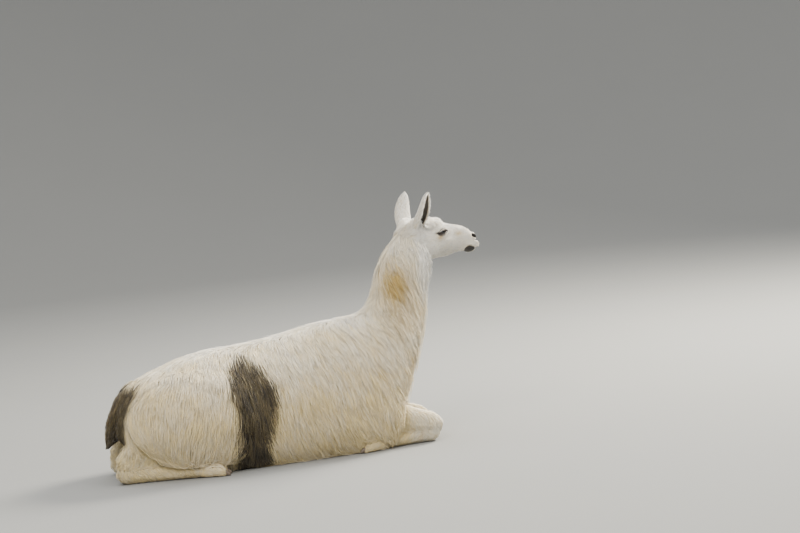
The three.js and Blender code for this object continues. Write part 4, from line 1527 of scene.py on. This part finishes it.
@dataclass
class SkinZone(Zone):
    """One stretch of short coat sown on the skin itself, evenly over folds and hollows.

    For the map it is rolled off sideways: frame gives the axes, and roll the first and last place along x
    and the height of the roll's middle.
    """

    frame: Callable[[Array], Array] = to_head
    roll: tuple = (-0.04, 0.34, 0.0)

    def sown(self, skin: Skin, apart: float, kept: bool, rng: np.random.Generator) -> tuple[Array, Array]:
        """Points of the skin, about one for each cube 1.2 apart wide that the skin runs through."""
        corners = skin.patch.points[skin.patch.triangles()]
        corners = corners[self.keep(corners.mean(axis=1))]
        first, second, third = (corners[:, i] for i in range(3))
        area = np.linalg.norm(np.cross(second - first, third - first), axis=1)
        share = np.cumsum(area) / np.sum(area)
        count = int(2.2 * area.sum() / apart**2)
        picked = np.minimum(np.searchsorted(share, rng.random(count)), len(share) - 1)
        a, b = np.sqrt(rng.random((count, 1))), rng.random((count, 1))
        t = corners[picked]
        points = (1 - a) * t[:, 0] + a * (1 - b) * t[:, 1] + a * b * t[:, 2]
        points = points[self.keep(points)]
        _, lone = np.unique(np.floor(points / (1.2 * apart)).astype(int), axis=0, return_index=True)
        return points[lone], points[lone]

    def run(self, skin: Skin, where: Array, length: Array, turn: Array, rise: Array) -> tuple[Array, Array]:
        """Centre lines that follow the skin, and their heights."""
        at, out = skin.laid(where, np.zeros(len(where)))
        points, gone = [], 0.0
        none = np.zeros(len(where))
        for ring in self.style.rings:
            way = self.heading(none, none, at, out)
            way = turned(out, unit(way - out * dot(way, out)), turn)
            at, out = skin.laid(at + way * ((ring - gone) * length)[:, None], none)
            gone = ring
            points.append(at)
        lift = np.array(self.style.lift)[None, :]
        tall = self.proud * (self.share(where) if self.share else 1.0)
        height = np.where(lift > 0, lift * rise[:, None], lift) * np.reshape(tall, (-1, 1))
        return np.stack(points, 1), height

    def unwrap(self, where: Array) -> Array:
        """The places of tufts on the roll."""
        h = self.frame(where)
        low, high, middle = self.roll
        turn = np.arctan2(h[:, 1], middle - h[:, 2]) / (2 * np.pi) + 0.5
        return np.clip(np.stack([(h[:, 0] - low) / (high - low), turn], -1), 0, 1)


def tuft_patch(growth: Growth) -> tuple[Patch, dict[str, Array], Array, Array]:
    """Solid tufts on centre lines: three-sided rods with a ridge outwards, closed at the root and
    drawn to a point at the tip.

    Args:
        growth: the centre lines.

    Returns:
        The surface, its numbers and uv places by point, within the zone's square, and its shading
        directions, which lean towards those of the body so that the coat shades as one soft mass.
    """
    style = growth.style
    count, rings = growth.line.shape[:2]
    along = unit(np.gradient(growth.line, axis=1))
    out = unit(growth.out - along * dot(growth.out, along))
    across = np.cross(along, out)
    wide = np.array(style.wide)[None, :, None] * style.half
    body = growth.line[:, :-1]
    left = body + across[:, :-1] * wide
    right = body - across[:, :-1] * wide
    ridge = body + out[:, :-1] * wide * 2 * style.thick
    per = 3 * (rings - 1) + 1
    points = np.empty((count, per, 3))
    points[:, 0:-1:3], points[:, 1:-1:3], points[:, 2:-1:3] = left, ridge, right
    points[:, -1] = growth.line[:, -1]
    points[..., 2] = np.maximum(points[..., 2], TUFT_FLOOR)
    shade = np.empty_like(points)
    mass, own = growth.soft * growth.out, 1.0 - growth.soft
    shade[:, 0:-1:3] = (mass + own * (across - 0.4 * out))[:, :-1]
    shade[:, 1:-1:3] = (mass + own * out)[:, :-1]
    shade[:, 2:-1:3] = (mass - own * (across + 0.4 * out))[:, :-1]
    shade[:, -1] = (mass + own * (along + 0.5 * out))[:, -1]
    start = (np.arange(count) * per)[:, None, None]
    quads, tris = [], [[0, 1, 2]]
    for r in range(rings - 2):
        for k in range(3):
            a, b = 3 * r + k, 3 * r + (k + 1) % 3
            quads.append([a, a + 3, b + 3, b])
    for k in range(3):
        tris.append([3 * (rings - 2) + (k + 1) % 3, 3 * (rings - 2) + k, per - 1])
    quads = np.array(quads)[None] + start
    tris = np.array(tris)[None] + start
    ring_s = np.repeat(np.array(style.rings)[:-1], 3)
    tip = np.concatenate([ring_s, [1.0]])
    corner = np.stack([np.concatenate([np.tile([0.0, 0.5, 1.0], rings - 1), [0.5]]), tip], -1) - 0.5
    uv = 0.012 + 0.976 * growth.place[:, None, :] + 0.003 * corner[None]
    values = {k: np.repeat(x, per) for k, x in MARKINGS.numbers(growth.seen).items()}
    values["tone"] = np.repeat(growth.tone, per)
    values["tip"] = np.tile(tip, count)
    patch = Patch(points.reshape(-1, 3), quads.reshape(-1, 4), tris.reshape(-1, 3))
    return patch, values, uv.reshape(-1, 2), unit(shade).reshape(-1, 3)


def coat_piece(name: str, growths: list[Growth], material: bpy.types.Material) -> None:
    """One joined mesh of tufts, with each zone in its own strip of the map OFBake."""
    patches, values, uvs, shades = [], [], [], []
    for i, growth in enumerate(growths):
        patch, numbers, uv, shade = tuft_patch(growth)
        patches.append(patch)
        # a growth's painted shade darkens all its tufts towards the bare colour
        numbers["bare"] = np.maximum(numbers["bare"], growth.painted_shade)
        values.append(numbers)
        shades.append(shade)
        uvs.append((uv + [i, 0.0]) / [len(growths), 1.0])
    patch = joined(patches)
    merged = {k: np.concatenate([v[k] for v in values]) for k in values[0]}
    loop_uv = np.concatenate(uvs)[patch.corners]
    piece = make_piece(name, patch, material, merged, loop_uv, np.concatenate(shades))


def part_of(growth: Growth, chosen: Array) -> Growth:
    """The tufts that a mask picks."""
    by_tuft = ("line", "out", "seen", "place", "tone")
    return replace(growth, **{name: getattr(growth, name)[chosen] for name in by_tuft})


@dataclass
class Fleece:
    """The long coat of the trunk, neck, haunches and tail."""

    body: Body
    skin: Skin
    long: Tufts = Tufts(apart=0.0057, length=0.112, half=0.0018, rings=(0.0, 0.22, 0.60, 1.0),
                        wide=(0.8, 1.0, 0.62), lift=(-0.12, 0.62, 0.96, 1.0), thick=0.28, wave=0.0032,
                        clump=0.40, clump_apart=0.030, stray=0.16, rise=(0.55, 1.0), loose=0.015)
    throat: Tufts = Tufts(apart=0.0048, length=0.088, half=0.0017, rings=(0.0, 0.22, 0.60, 1.0),
                          wide=(0.8, 1.0, 0.62), lift=(-0.12, 0.60, 0.95, 1.08), thick=0.25, wave=0.0028,
                          clump=0.36, clump_apart=0.026, stray=0.17, rise=(0.55, 1.0), loose=0.08)
    plume: Tufts = Tufts(apart=0.0055, length=0.115, half=0.0020, rings=(0.0, 0.22, 0.60, 1.0),
                         wide=(0.8, 1.0, 0.7), lift=(-0.1, 0.7, 1.1, 1.25), thick=0.4, wave=0.007,
                         clump=0.3, clump_apart=0.030, stray=0.28, rise=(0.5, 1.15))
    neck_from: float = 9.9  # the station where the neck's coat starts
    # The pieces of each side of the trunk, from and to x.
    stretches: tuple = (("rear", -2, -0.42), ("middle", -0.42, -0.12), ("fore", -0.12, 2))

    @staticmethod
    def fall(u: Array, v: Array, at: Array, out: Array) -> Array:
        """Down and outwards, leaning ahead at the shoulder and back at the rump, and back on the spine."""
        lean = np.interp(at[:, 0] / MM, *np.array(LEAN_ROWS, float).T)
        lean = lean * (1 - 0.4 * np.clip((at[:, 2] - 0.48) / 0.15, 0, 1))
        spine = hump(at[:, 1], 0.05) * step(0.2, 0.6, out[:, 2])
        sideways = 0.8 * np.tanh(at[:, 1] / 0.035) * (1 - 0.9 * step(0.2, 0.7, out[:, 0]))
        return np.stack([lean * (1 - spine) - 0.9 * spine, sideways, -np.ones(len(at))], -1)

    @staticmethod
    def trail(u: Array, v: Array, at: Array, out: Array) -> Array:
        """Down, back and outwards over the tail."""
        return np.stack([0 * u - 0.45, 0.3 * np.tanh(at[:, 1] / 0.03), 0 * u - 1.0], -1)

    @staticmethod
    def open_neck(p: Array) -> Array:
        """Leaves out what would hang over the jaw."""
        return (to_head(p)[:, 0] < 0.10) | (p[:, 2] < 0.712)

    @staticmethod
    def fade(p: Array) -> Array:
        """Shortens the coat where the neck meets the head."""
        return 1 - 0.5 * step(-0.05, 0.06, to_head(p)[:, 0]) * step(0.68, 0.72, p[:, 2])

    def make(self, material: bpy.types.Material) -> list[Growth]:
        """Builds the coat pieces."""
        trunk, tail = self.body.trunk, self.body.tail
        torso = Zone("torso", self.long, self.fall, anywhere, 21, trunk, (0.02, self.neck_from),
                     fleece_depth(trunk)).grow(self.skin)
        neck = Zone("neck", self.throat, self.fall, self.open_neck, 22, trunk, (self.neck_from, 15.95),
                    fleece_depth(trunk), share=self.fade).grow(self.skin)
        haunch = [Zone("haunch_" + s.word, self.long, self.fall, anywhere, 23 + i, loft,
                       (0.1, loft.last - 0.05), fleece_depth(loft)).grow(self.skin)
                  for i, (s, loft) in enumerate(self.body.haunch.items())]
        for s in Side:
            mine, neck_mine = ((g.seen[:, 1] < 0) == (s is Side.RIGHT) for g in (torso, neck))
            x = torso.seen[:, 0]
            for word, low, high in self.stretches:
                chosen = part_of(torso, mine & (x >= low) & (x < high))
                coat_piece(f"fleece_{word}_{s.word}", [chosen], material)
            coat_piece(f"fleece_neck_{s.word}", [part_of(neck, neck_mine)], material)
        for s, grown in zip(Side, haunch):
            coat_piece("fleece_haunch_" + s.word, [grown], material)
        plume = Zone("tail", self.plume, self.trail, anywhere, 31, tail, (0.0, tail.last - 0.1),
                     fleece_depth(tail)).grow(self.skin)
        coat_piece("fleece_tail", [plume], material)
        return [torso, neck, plume] + haunch


def down_limb(loft: Loft, drop: float) -> Heading:
    """The heading along a limb to its end, and down by drop."""

    def heading(u: Array, v: Array, at: Array, out: Array) -> Array:
        return (through(loft.centre, u + 0.1) - through(loft.centre, u - 0.1)) * 5 + [0, 0, -drop]

    return heading


@dataclass
class ShortHair:
    """The short coat of the face, crown, legs and feet."""

    body: Body
    skin: Skin
    face: Tufts = Tufts(apart=0.0031, length=0.013, half=0.0011, thick=0.3, wave=0.0006, clump=0.2,
                        clump_apart=0.014, stray=0.22, loose=0.01)
    curls: Tufts = Tufts(apart=0.0031, length=0.025, half=0.0010, rings=(0.0, 0.2, 0.45, 0.7, 1.0),
                         wide=(0.7, 1.0, 0.85, 0.6), lift=(-0.1, 0.5, 0.85, 1.0, 0.85), thick=0.5,
                         wave=0.0030, clump=0.7, clump_apart=0.016, stray=0.9, rise=(0.35, 1.25))
    legs: Tufts = Tufts(apart=0.0062, length=0.040, half=0.0018, lift=(-0.2, 0.6, 1.0))
    toes: Tufts = Tufts(apart=0.0044, length=0.022, half=0.0015, wave=0.0012, clump=0.3, clump_apart=0.016)

    @staticmethod
    def back(u: Array, v: Array, at: Array, out: Array) -> Array:
        """Back over the face, and slightly outwards and down."""
        h = to_head(at)
        return np.stack([-np.ones(len(h)), 0.15 * np.sign(h[:, 1]), -0.25 - 0 * u], -1) @ HEAD_TURN.T

    @staticmethod
    def ahead(u: Array, v: Array, at: Array, out: Array) -> Array:
        """Ahead over the crown and outwards."""
        h = to_head(at)
        return np.stack([np.ones(len(h)), 1.2 * np.tanh(h[:, 1] / 0.03), 0.1 + 0 * u], -1) @ HEAD_TURN.T

    @staticmethod
    def on_face(p: Array) -> Array:
        """The head, apart from eyes, nostrils, mouth and the bare lip."""
        h = to_head(p)
        x, far, z = h[:, 0], np.abs(h[:, 1]), h[:, 2]
        dx, dz = x - EYE_AT[0], z - EYE_AT[2]
        eye = np.maximum(almond(dx, dz), almond(dx - 0.008, dz)) > -0.0050
        eye = eye & (far > 0.02) & (np.abs(dx) < 0.040)
        line = mouth_line(x)
        mouth = (x > 0.258) & (np.abs(z - line) < 0.003)
        lip = (lip_gap(x, z) < 1.0) & (z < line)
        nose = np.minimum(nostril_gap(h), nostril_gap(h - [0.007, 0, 0])) < 0.0095
        return ~(eye | mouth | lip | nose) & (x > -0.02) & (p[:, 2] > 0.56)

    @staticmethod
    def cheek(p: Array) -> Array:
        """The face's hair is longest behind and shortest at the lips."""
        x = to_head(p)[:, 0]
        return 1 + 1.3 * step(0.11, 0.03, x) - 0.3 * step(0.18, 0.26, x) - 0.25 * step(0.28, 0.30, x)

    @staticmethod
    def crown_edge(p: Array) -> Array:
        """How far a point lies inside the edge of the crown, less outside it."""
        h = to_head(p)
        x, far = h[:, 0], np.abs(h[:, 1])
        sides = np.minimum(h[:, 2] - 0.036 - 0.25 * np.abs(x - 0.07), 1.4 * (0.062 - far))
        return np.minimum(sides, 0.5 * np.minimum(x + 0.02, 0.184 - x))

    def curl(self, p: Array) -> Array:
        """The crown's curls are shorter near its edge and ahead, and uneven."""
        edge = 0.25 + 0.75 * step(0.0, 0.016, self.crown_edge(p))
        return edge * (1 - 0.5 * step(0.115, 0.178, to_head(p)[:, 0])) * (0.7 + 0.6 * noise(p, 0.013, 6))

    def make(self, material: bpy.types.Material) -> list[Growth]:
        """Builds the coat pieces."""
        face = SkinZone("face", self.face, self.back, self.on_face, 41, proud=0.0042, share=self.cheek,
                        soft=0.65).grow(self.skin)
        right = face.seen[:, 1] < face.seen[:, 0] * 0.25 - 0.07
        for s in Side:
            chosen = part_of(face, right == (s is Side.RIGHT))
            coat_piece(f"hair_face_{s.word}", [chosen], material)
        crown = SkinZone("crown", self.curls, self.ahead, lambda p: self.crown_edge(p) > 0.001, 42,
                         proud=0.0140, share=self.curl, soft=0.45)
        coat_piece("hair_crown", [crown.grow(self.skin)], material)
        legs = [Zone("leg", self.legs, down_limb(loft, 0.15), anywhere, 50 + i, loft,
                     (0.05, loft.last - 0.02), limb_depth(loft), 0.003, soft=0.55).grow(self.skin)
                for i, loft in enumerate(self.body.limbs)]
        coat_piece("hair_legs", legs, material)
        feet = [Zone("toe", self.toes, down_limb(loft, 0.0), anywhere, 70 + i, loft, (0.02, loft.last - 0.5),
                     even_depth(TOE_DEPTH), 0.004, soft=0.55).grow(self.skin)
                for i, loft in enumerate(self.body.toes)]
        coat_piece("hair_feet", feet, material)
        return [face] + legs + feet


@dataclass
class Gaps:
    """Hair on the skin that the other coats leave bare: the end of the rump, the hocks and the knees."""

    skin: Skin
    others: list[Growth]
    hair: Tufts = Tufts(apart=0.0046, length=0.026, half=0.0017, rings=(0.0, 0.3, 0.65, 1.0),
                        wide=(0.8, 1.0, 0.7), lift=(-0.15, 0.55, 0.9, 1.0), thick=0.3, wave=0.0015,
                        clump=0.3, stray=0.3, rise=(0.5, 1.0))

    def make(self, material: bpy.types.Material) -> None:
        """Builds the coat piece."""
        tree = point_tree(np.concatenate([g.line[:, 0] for g in self.others]))

        def keep(p: Array) -> Array:
            bare = np.array([tree.find(q)[2] > 0.0075 for q in p.tolist()], bool)
            return bare & (p[:, 2] > 0.008) & (p[:, 2] < 0.76) & (to_head(p)[:, 0] < 0.12)

        def down(u: Array, v: Array, at: Array, out: Array) -> Array:
            ahead = np.where(at[:, 0] < -0.6, -0.15, 0.15)
            return np.stack([ahead, 0.25 * np.sign(at[:, 1]), -np.ones(len(at))], -1)

        def tall(p: Array) -> Array:
            return 1 + 1.9 * step(0.10, 0.16, p[:, 2]) * step(-0.70, -0.80, p[:, 0])

        zone = SkinZone("gaps", self.hair, down, keep, 95, proud=0.0065, share=tall, frame=lambda p: p,
                        roll=(-0.95, 0.45, 0.2))
        coat_piece("hair_rump_and_knees", [zone.grow(self.skin)], material)


@dataclass
class EarHair:
    """Short hair on the backs of the ears, longer along their edges and sparse inside, with painted shade on
    the backs.
    """

    coat: Tufts = Tufts(apart=0.0042, length=0.013, half=0.0014, wide=(0.8, 0.9))
    wisps: Tufts = Tufts(apart=0.004, length=0.015, half=0.0011)
    in_row: int = 34  # the most tufts in one row across an ear
    fringed: int = 620  # tufts along the edges of an ear

    def growth(self, ear: Ear, seed: int) -> Growth:
        """Tufts on one ear that run towards its tip, with those near the edge turned outwards."""
        rng = np.random.default_rng(seed)
        rows = int(ear.length / self.coat.apart)
        s = np.repeat(np.linspace(0.02, 0.985, rows), self.in_row)
        a = rng.uniform(-1.0, 1.0, len(s))
        keep = rng.random(len(s)) < (ear.radius(s) / ear.half) * ear.half_turn(s) / 2.1
        s, a = s[keep], a[keep]
        s = np.clip(s + (rng.random(len(s)) - 0.5) / rows, 0.0, 0.99)
        edge = step(0.8, 1.0, np.abs(a))
        length = (self.coat.length + 0.007 * edge) * (0.8 + 0.4 * rng.random(len(s)))
        root = ear.point(s, a, 0.0018)
        tip_s = np.minimum(s + length / ear.length, 1.0)
        over = np.maximum(s + length / ear.length - 1.0, 0.0)[:, None] * ear.length
        out = ear.outwards(s, a)
        side = unit(ear.point(s, a + 0.05) - ear.point(s, a - 0.05)) * np.sign(a)[:, None]
        axis = ear.along(s, a)
        lift = (0.0016 + 0.0014 * rng.random(len(s)))[:, None]
        tip = ear.point(tip_s, a) + out * lift + axis * over + side * (edge * 0.35 * length)[:, None]
        middle = 0.5 * (root + tip) + out * lift * 0.5
        line = np.stack([root, middle, tip], 1)
        place = np.stack([s, (a + 1) / 2], -1)
        out = np.repeat(out[:, None], 3, 1)
        # the hair on the ears' backs gets painted shade, as on a shadowed side
        return Growth(line, out, root, place, self.coat, rng.random(len(s)), painted_shade=0.10)

    def fringe(self, ear: Ear, seed: int) -> Growth:
        """A fringe along both edges that stands outwards, and wisps from inside across the opening."""
        rng = np.random.default_rng(seed)
        count = self.fringed
        s = rng.uniform(0.03, 0.99, count)
        a = np.where(rng.random(count) < 0.5, 1.0, -1.0) * (1.0 - 0.08 * rng.random(count))
        length = (0.012 + 0.008 * rng.random(count)) * (1 - 0.35 * s)
        root = ear.point(s, a, 0.003)
        side = unit(ear.point(s, a) - ear.point(s, a * 0.92))
        out = np.repeat(ear.outwards(s, a)[:, None], 3, 1)
        blend = rng.uniform(0.2, 0.75, count)[:, None]
        way = unit(ear.along(s, a) + side * blend + 0.15 * rng.normal(size=(count, 3)))
        rings = np.array(self.wisps.rings)[None, :, None]
        line = root[:, None] + way[:, None] * length[:, None, None] * rings
        place = np.stack([s, (a + 1) / 2], -1)
        return Growth(line, out, root, place, self.wisps, rng.random(count), soft=0.0)

    def make(self, material: bpy.types.Material) -> None:
        """Builds the coat piece."""
        grown = [self.growth(Ear(s), 81 + i) for i, s in enumerate(Side)]
        grown += [self.fringe(Ear(s), 85 + i) for i, s in enumerate(Side)]
        coat_piece("hair_ears", grown, material)


# ---------------------------------------------------------------- eyes and nails
@dataclass(frozen=True)
class Eye:
    """An eye set in its socket, with the edges of its lids and its lashes."""

    side: Side

    def at(self, points: Array) -> Array:
        """Points of the left eye's frame (x ahead, y outwards, z up), in the chest frame."""
        return to_body(np.asarray(EYE_AT * [1, self.side.value, 1]) + points * [1, self.side.value, 1])

    def rim(self, t: Array) -> Array:
        """The almond between the lids at t from 0 to 1, as x and z: two arcs that meet at the corners."""
        upper = t < 0.5
        a = np.where(upper, 1 - 4 * t, 4 * t - 3)
        top, low = lid_heights(a)
        return np.stack([EYE_OPEN[0] * a, np.where(upper, top, low)], -1)

    def before(self, flat: Array, gap: float) -> Array:
        """How far out the ball's surface lies at places x, z of the eye's frame, grown by a gap."""
        r = EYE_BALL + gap
        out = r[1] * np.sqrt(np.maximum(1 - (flat[:, 0] / r[0]) ** 2 - (flat[:, 1] / r[2]) ** 2, 0.04))
        return out - EYE_SLANT * flat[:, 0]

    def ball(self, material: bpy.types.Material) -> None:
        """The eyeball: rings about the way that it looks, with the cornea swelling over the iris."""
        t, ball = globe(0.015, 0.62, 30, 48)
        look = ball * (EYE_BALL + (0.0014 * step(0.85, 0.25, t))[..., None])
        look[..., 1] -= EYE_SLANT * look[..., 0]
        patch = tube(self.at(look))
        flat = np.vstack([look.reshape(-1, 3), look[0].mean(0), look[-1].mean(0)])
        pupil = step(1.1, 0.8, np.sqrt((flat[:, 0] / 0.0100) ** 2 + (flat[:, 2] / 0.0055) ** 2))
        white = step(0.0185, 0.0205, np.sqrt(flat[:, 0] ** 2 + flat[:, 2] ** 2))
        piece = make_piece("eyeball_" + self.side.word, patch, material, {"pupil": pupil, "white": white})
        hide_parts("eye_" + self.side.word)

    def lids(self, material: bpy.types.Material) -> None:
        """The lids' edges: an oval rod that follows the almond just in front of the ball."""
        around, ring = 96, 10
        flat = self.rim(np.arange(around) / around)
        line = np.stack([flat[:, 0], self.before(flat, 0.0014), flat[:, 1]], -1)
        away = unit(np.stack([flat[:, 0], np.zeros(around), flat[:, 1] - 0.001], -1))
        along = unit(np.roll(line, -1, 0) - np.roll(line, 1, 0))
        across = unit(np.cross(along, unit(line)))
        across = (across * np.sign(dot(across, away)))[:, None]
        a = np.arange(ring) / ring * 2 * np.pi
        wide, deep = (0.0021 * np.cos(a))[None, :, None], (0.0016 * np.sin(a))[None, :, None]
        rod = across * wide + unit(line)[:, None] * deep
        grid = line[:, None] + across * 0.0006 + rod
        at = np.arange(around * ring).reshape(around, ring)
        quads = ring_quads(np.vstack([at, at[:1]]))
        patch = Patch(self.at(grid.reshape(-1, 3)), quads, np.zeros((0, 3), int)).outward()
        make_piece("lid_edges_" + self.side.word, patch, material)

    def lashes(self, material: bpy.types.Material) -> None:
        """Lashes along the upper lid and fewer on the lower, curved down and outwards."""
        rng = np.random.default_rng(90 + self.side.value)
        upper, lower = np.linspace(0.05, 0.45, 40), np.linspace(0.60, 0.92, 14)
        count = len(upper) + len(lower)
        t = np.concatenate([upper, lower]) + 0.003 * rng.normal(size=count)
        low = np.arange(count) >= len(upper)
        flat = self.rim(t)
        height = flat[:, 1] + np.where(low, -0.001, 0.0016)
        root = np.stack([flat[:, 0], self.before(flat, 0.0024), height], -1)
        length = np.where(low, 0.005, 0.013) * (0.8 + 0.4 * rng.random(count))
        fan = np.stack([flat[:, 0] * 12 + 0.2, np.ones(count), np.where(low, -0.5, 0.6)], -1)
        way = unit(fan + 0.08 * rng.normal(size=(count, 3)))
        drop = np.where(low, 0.0, -0.75)[:, None] * [0, 0, 1.0]
        s = np.array([0.0, 0.35, 0.7, 1.0])
        line = root[:, None] + way[:, None] * s[None, :, None] * length[:, None, None]
        line = line + drop[:, None] * (s**2)[None, :, None] * length[:, None, None]
        style = Tufts(apart=0.001, length=0.015, half=0.00030, rings=tuple(s), wide=(1.0, 0.9, 0.6),
                      thick=0.8)
        growth = Growth(self.at(line), self.at(line + [0, 0, 0.01]) - self.at(line), self.at(root),
                        np.stack([t, 0 * t + 0.5], -1), style, 0.5 + 0.5 * rng.random(count), soft=0.0)
        patch, values, uv, _ = tuft_patch(growth)
        values["bare"] = values["bare"] * 0.1
        piece = make_piece("lashes_" + self.side.word, patch, material, values, uv[patch.corners])


def nails(material: bpy.types.Material, body: Body) -> None:
    """The eight nails, each a short curved loft that replaces its own solid."""
    for end, rows in (("fore", FORE_CANNON_ROWS), ("hind", HIND_CANNON_ROWS)):
        for s in Side:
            for k in (1, -1):
                word = "outer" if k * s.value > 0 else "inner"
                patch = nail_loft(rows, s, k).shell(22, 24, even_depth(0.0))
                patch.points[:, 2] = np.maximum(patch.points[:, 2], NAIL_FLOOR)
                piece = make_piece(f"nail_{end}_{s.word}_{word}", patch, material)
                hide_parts(f"{end}_nail_{s.word}_{word}")


# ---------------------------------------------------------------- studio
@dataclass(frozen=True)
class Studio:
    """A pale floor that curves up into a backdrop, soft lights and the camera."""

    lens: float = 101.25
    stand: tuple = (-1.4135, -8.7631, 1.4810)  # where the camera is
    right: tuple = (0.97090, -0.21568, -0.10413)  # the camera's way to its right
    back: tuple = (-0.20712, -0.97442, 0.08716)  # its way back from the view
    paper: tuple = rgb(0.225, 0.227, 0.219)
    floor: float = 8.5  # radius of the flat floor
    bend: float = 7.0  # radius of the curve up to the wall
    wall: float = 12.0  # its height
    sides: int = 96  # facets all the way round
    # Name, place, size, power and colour of each light.
    lights: tuple = (
        ("key", (-3.0, -6.0, 5.5), 4.0, 760, (1.0, 0.965, 0.90)),
        ("fill", (4.5, -5.0, 2.5), 4.0, 220, (1.0, 0.985, 0.96)),
        ("top", (0.0, 0.5, 10.0), 12.0, 1500, (1.0, 0.99, 0.97)),
        ("rim", (4.4, 1.8, 3.8), 2.2, 1300, (1.0, 0.94, 0.82)),
    )

    def sweep(self) -> None:
        """Floor and backdrop: one profile of floor, quarter circle and wall, carried all the way round."""
        turn = np.linspace(0, math.pi / 2, 30)
        far = np.concatenate([[0.5, 2.0, 5.0, self.floor], self.floor + self.bend * np.sin(turn),
                              [self.floor + self.bend]])[:, None]
        high = np.concatenate([[0.0] * 4, self.bend * (1 - np.cos(turn)), [self.wall]])[:, None]
        round_by = np.arange(self.sides) / self.sides * 2 * np.pi
        points = np.stack(np.broadcast_arrays(far * np.cos(round_by), far * np.sin(round_by), high), -1)
        at = np.arange(len(far) * self.sides).reshape(-1, self.sides)
        quads = ring_quads(at).tolist()
        mesh = bpy.data.meshes.new("studio_paper")
        mesh.from_pydata(points.reshape(-1, 3).tolist(), [], quads + [at[0].tolist()])
        mesh.polygons.foreach_set("use_smooth", np.ones(len(quads) + 1, bool))
        mesh.materials.append(StudioFinish("studio_paper", self.paper).make())
        paper = bpy.data.objects.new("studio_paper", mesh)
        bpy.context.scene.collection.objects.link(paper)

    def light(self, name: str, at: tuple, size: float, power: float, colour: tuple) -> None:
        """A square soft light aimed at the middle of the animal."""
        lamp = bpy.data.lights.new(name, "AREA")
        lamp.size = size
        lamp.energy = power
        lamp.color = colour
        source = bpy.data.objects.new(name, lamp)
        aim = Vector((0.0, 0.0, 0.45)) - Vector(at)
        source.matrix_world = Matrix.Translation(at) @ aim.to_track_quat("-Z", "Y").to_matrix().to_4x4()
        bpy.context.scene.collection.objects.link(source)

    def camera(self) -> None:
        """The camera, with a slight roll."""
        right, back = Vector(self.right).normalized(), Vector(self.back).normalized()
        up = back.cross(right).normalized()
        right = up.cross(back)
        turn = Matrix((right, up, back)).transposed().to_4x4()
        lens = bpy.data.cameras.new("camera")
        lens.lens = self.lens
        lens.sensor_width = 36.0
        lens.clip_end = 200.0
        camera = bpy.data.objects.new("camera", lens)
        camera.matrix_world = Matrix.Translation(self.stand) @ turn
        bpy.context.scene.collection.objects.link(camera)
        bpy.context.scene.camera = camera

    def make(self) -> None:
        """Sets it all up."""
        self.sweep()
        for light in self.lights:
            self.light(*light)
        world = bpy.data.worlds.new("room")
        world.use_nodes = True
        background = world.node_tree.nodes["Background"]
        background.inputs["Color"].default_value = rgb(0.97, 0.98, 1.0)
        background.inputs["Strength"].default_value = 1.0
        bpy.context.scene.world = world
        self.camera()


def main() -> None:
    """Builds the llama and its studio."""
    logging.basicConfig(level=logging.INFO, format="%(message)s")
    Studio().make()
    body = Body()
    coat = CoatFinish("fleece_and_hair").make()
    skin = Skin(body).make(CoatFinish("hairy_skin", skin=True).make())
    grown = Fleece(body, skin).make(coat) + ShortHair(body, skin).make(coat)
    Gaps(skin, grown).make(coat)
    EarHair().make(coat)
    wet, lid = EyeFinish().make(), LidFinish().make()
    for side in Side:
        eye = Eye(side)
        eye.ball(wet)
        eye.lids(lid)
        eye.lashes(coat)
    nails(HornFinish().make(), body)


if __name__ == "__main__":
    main()
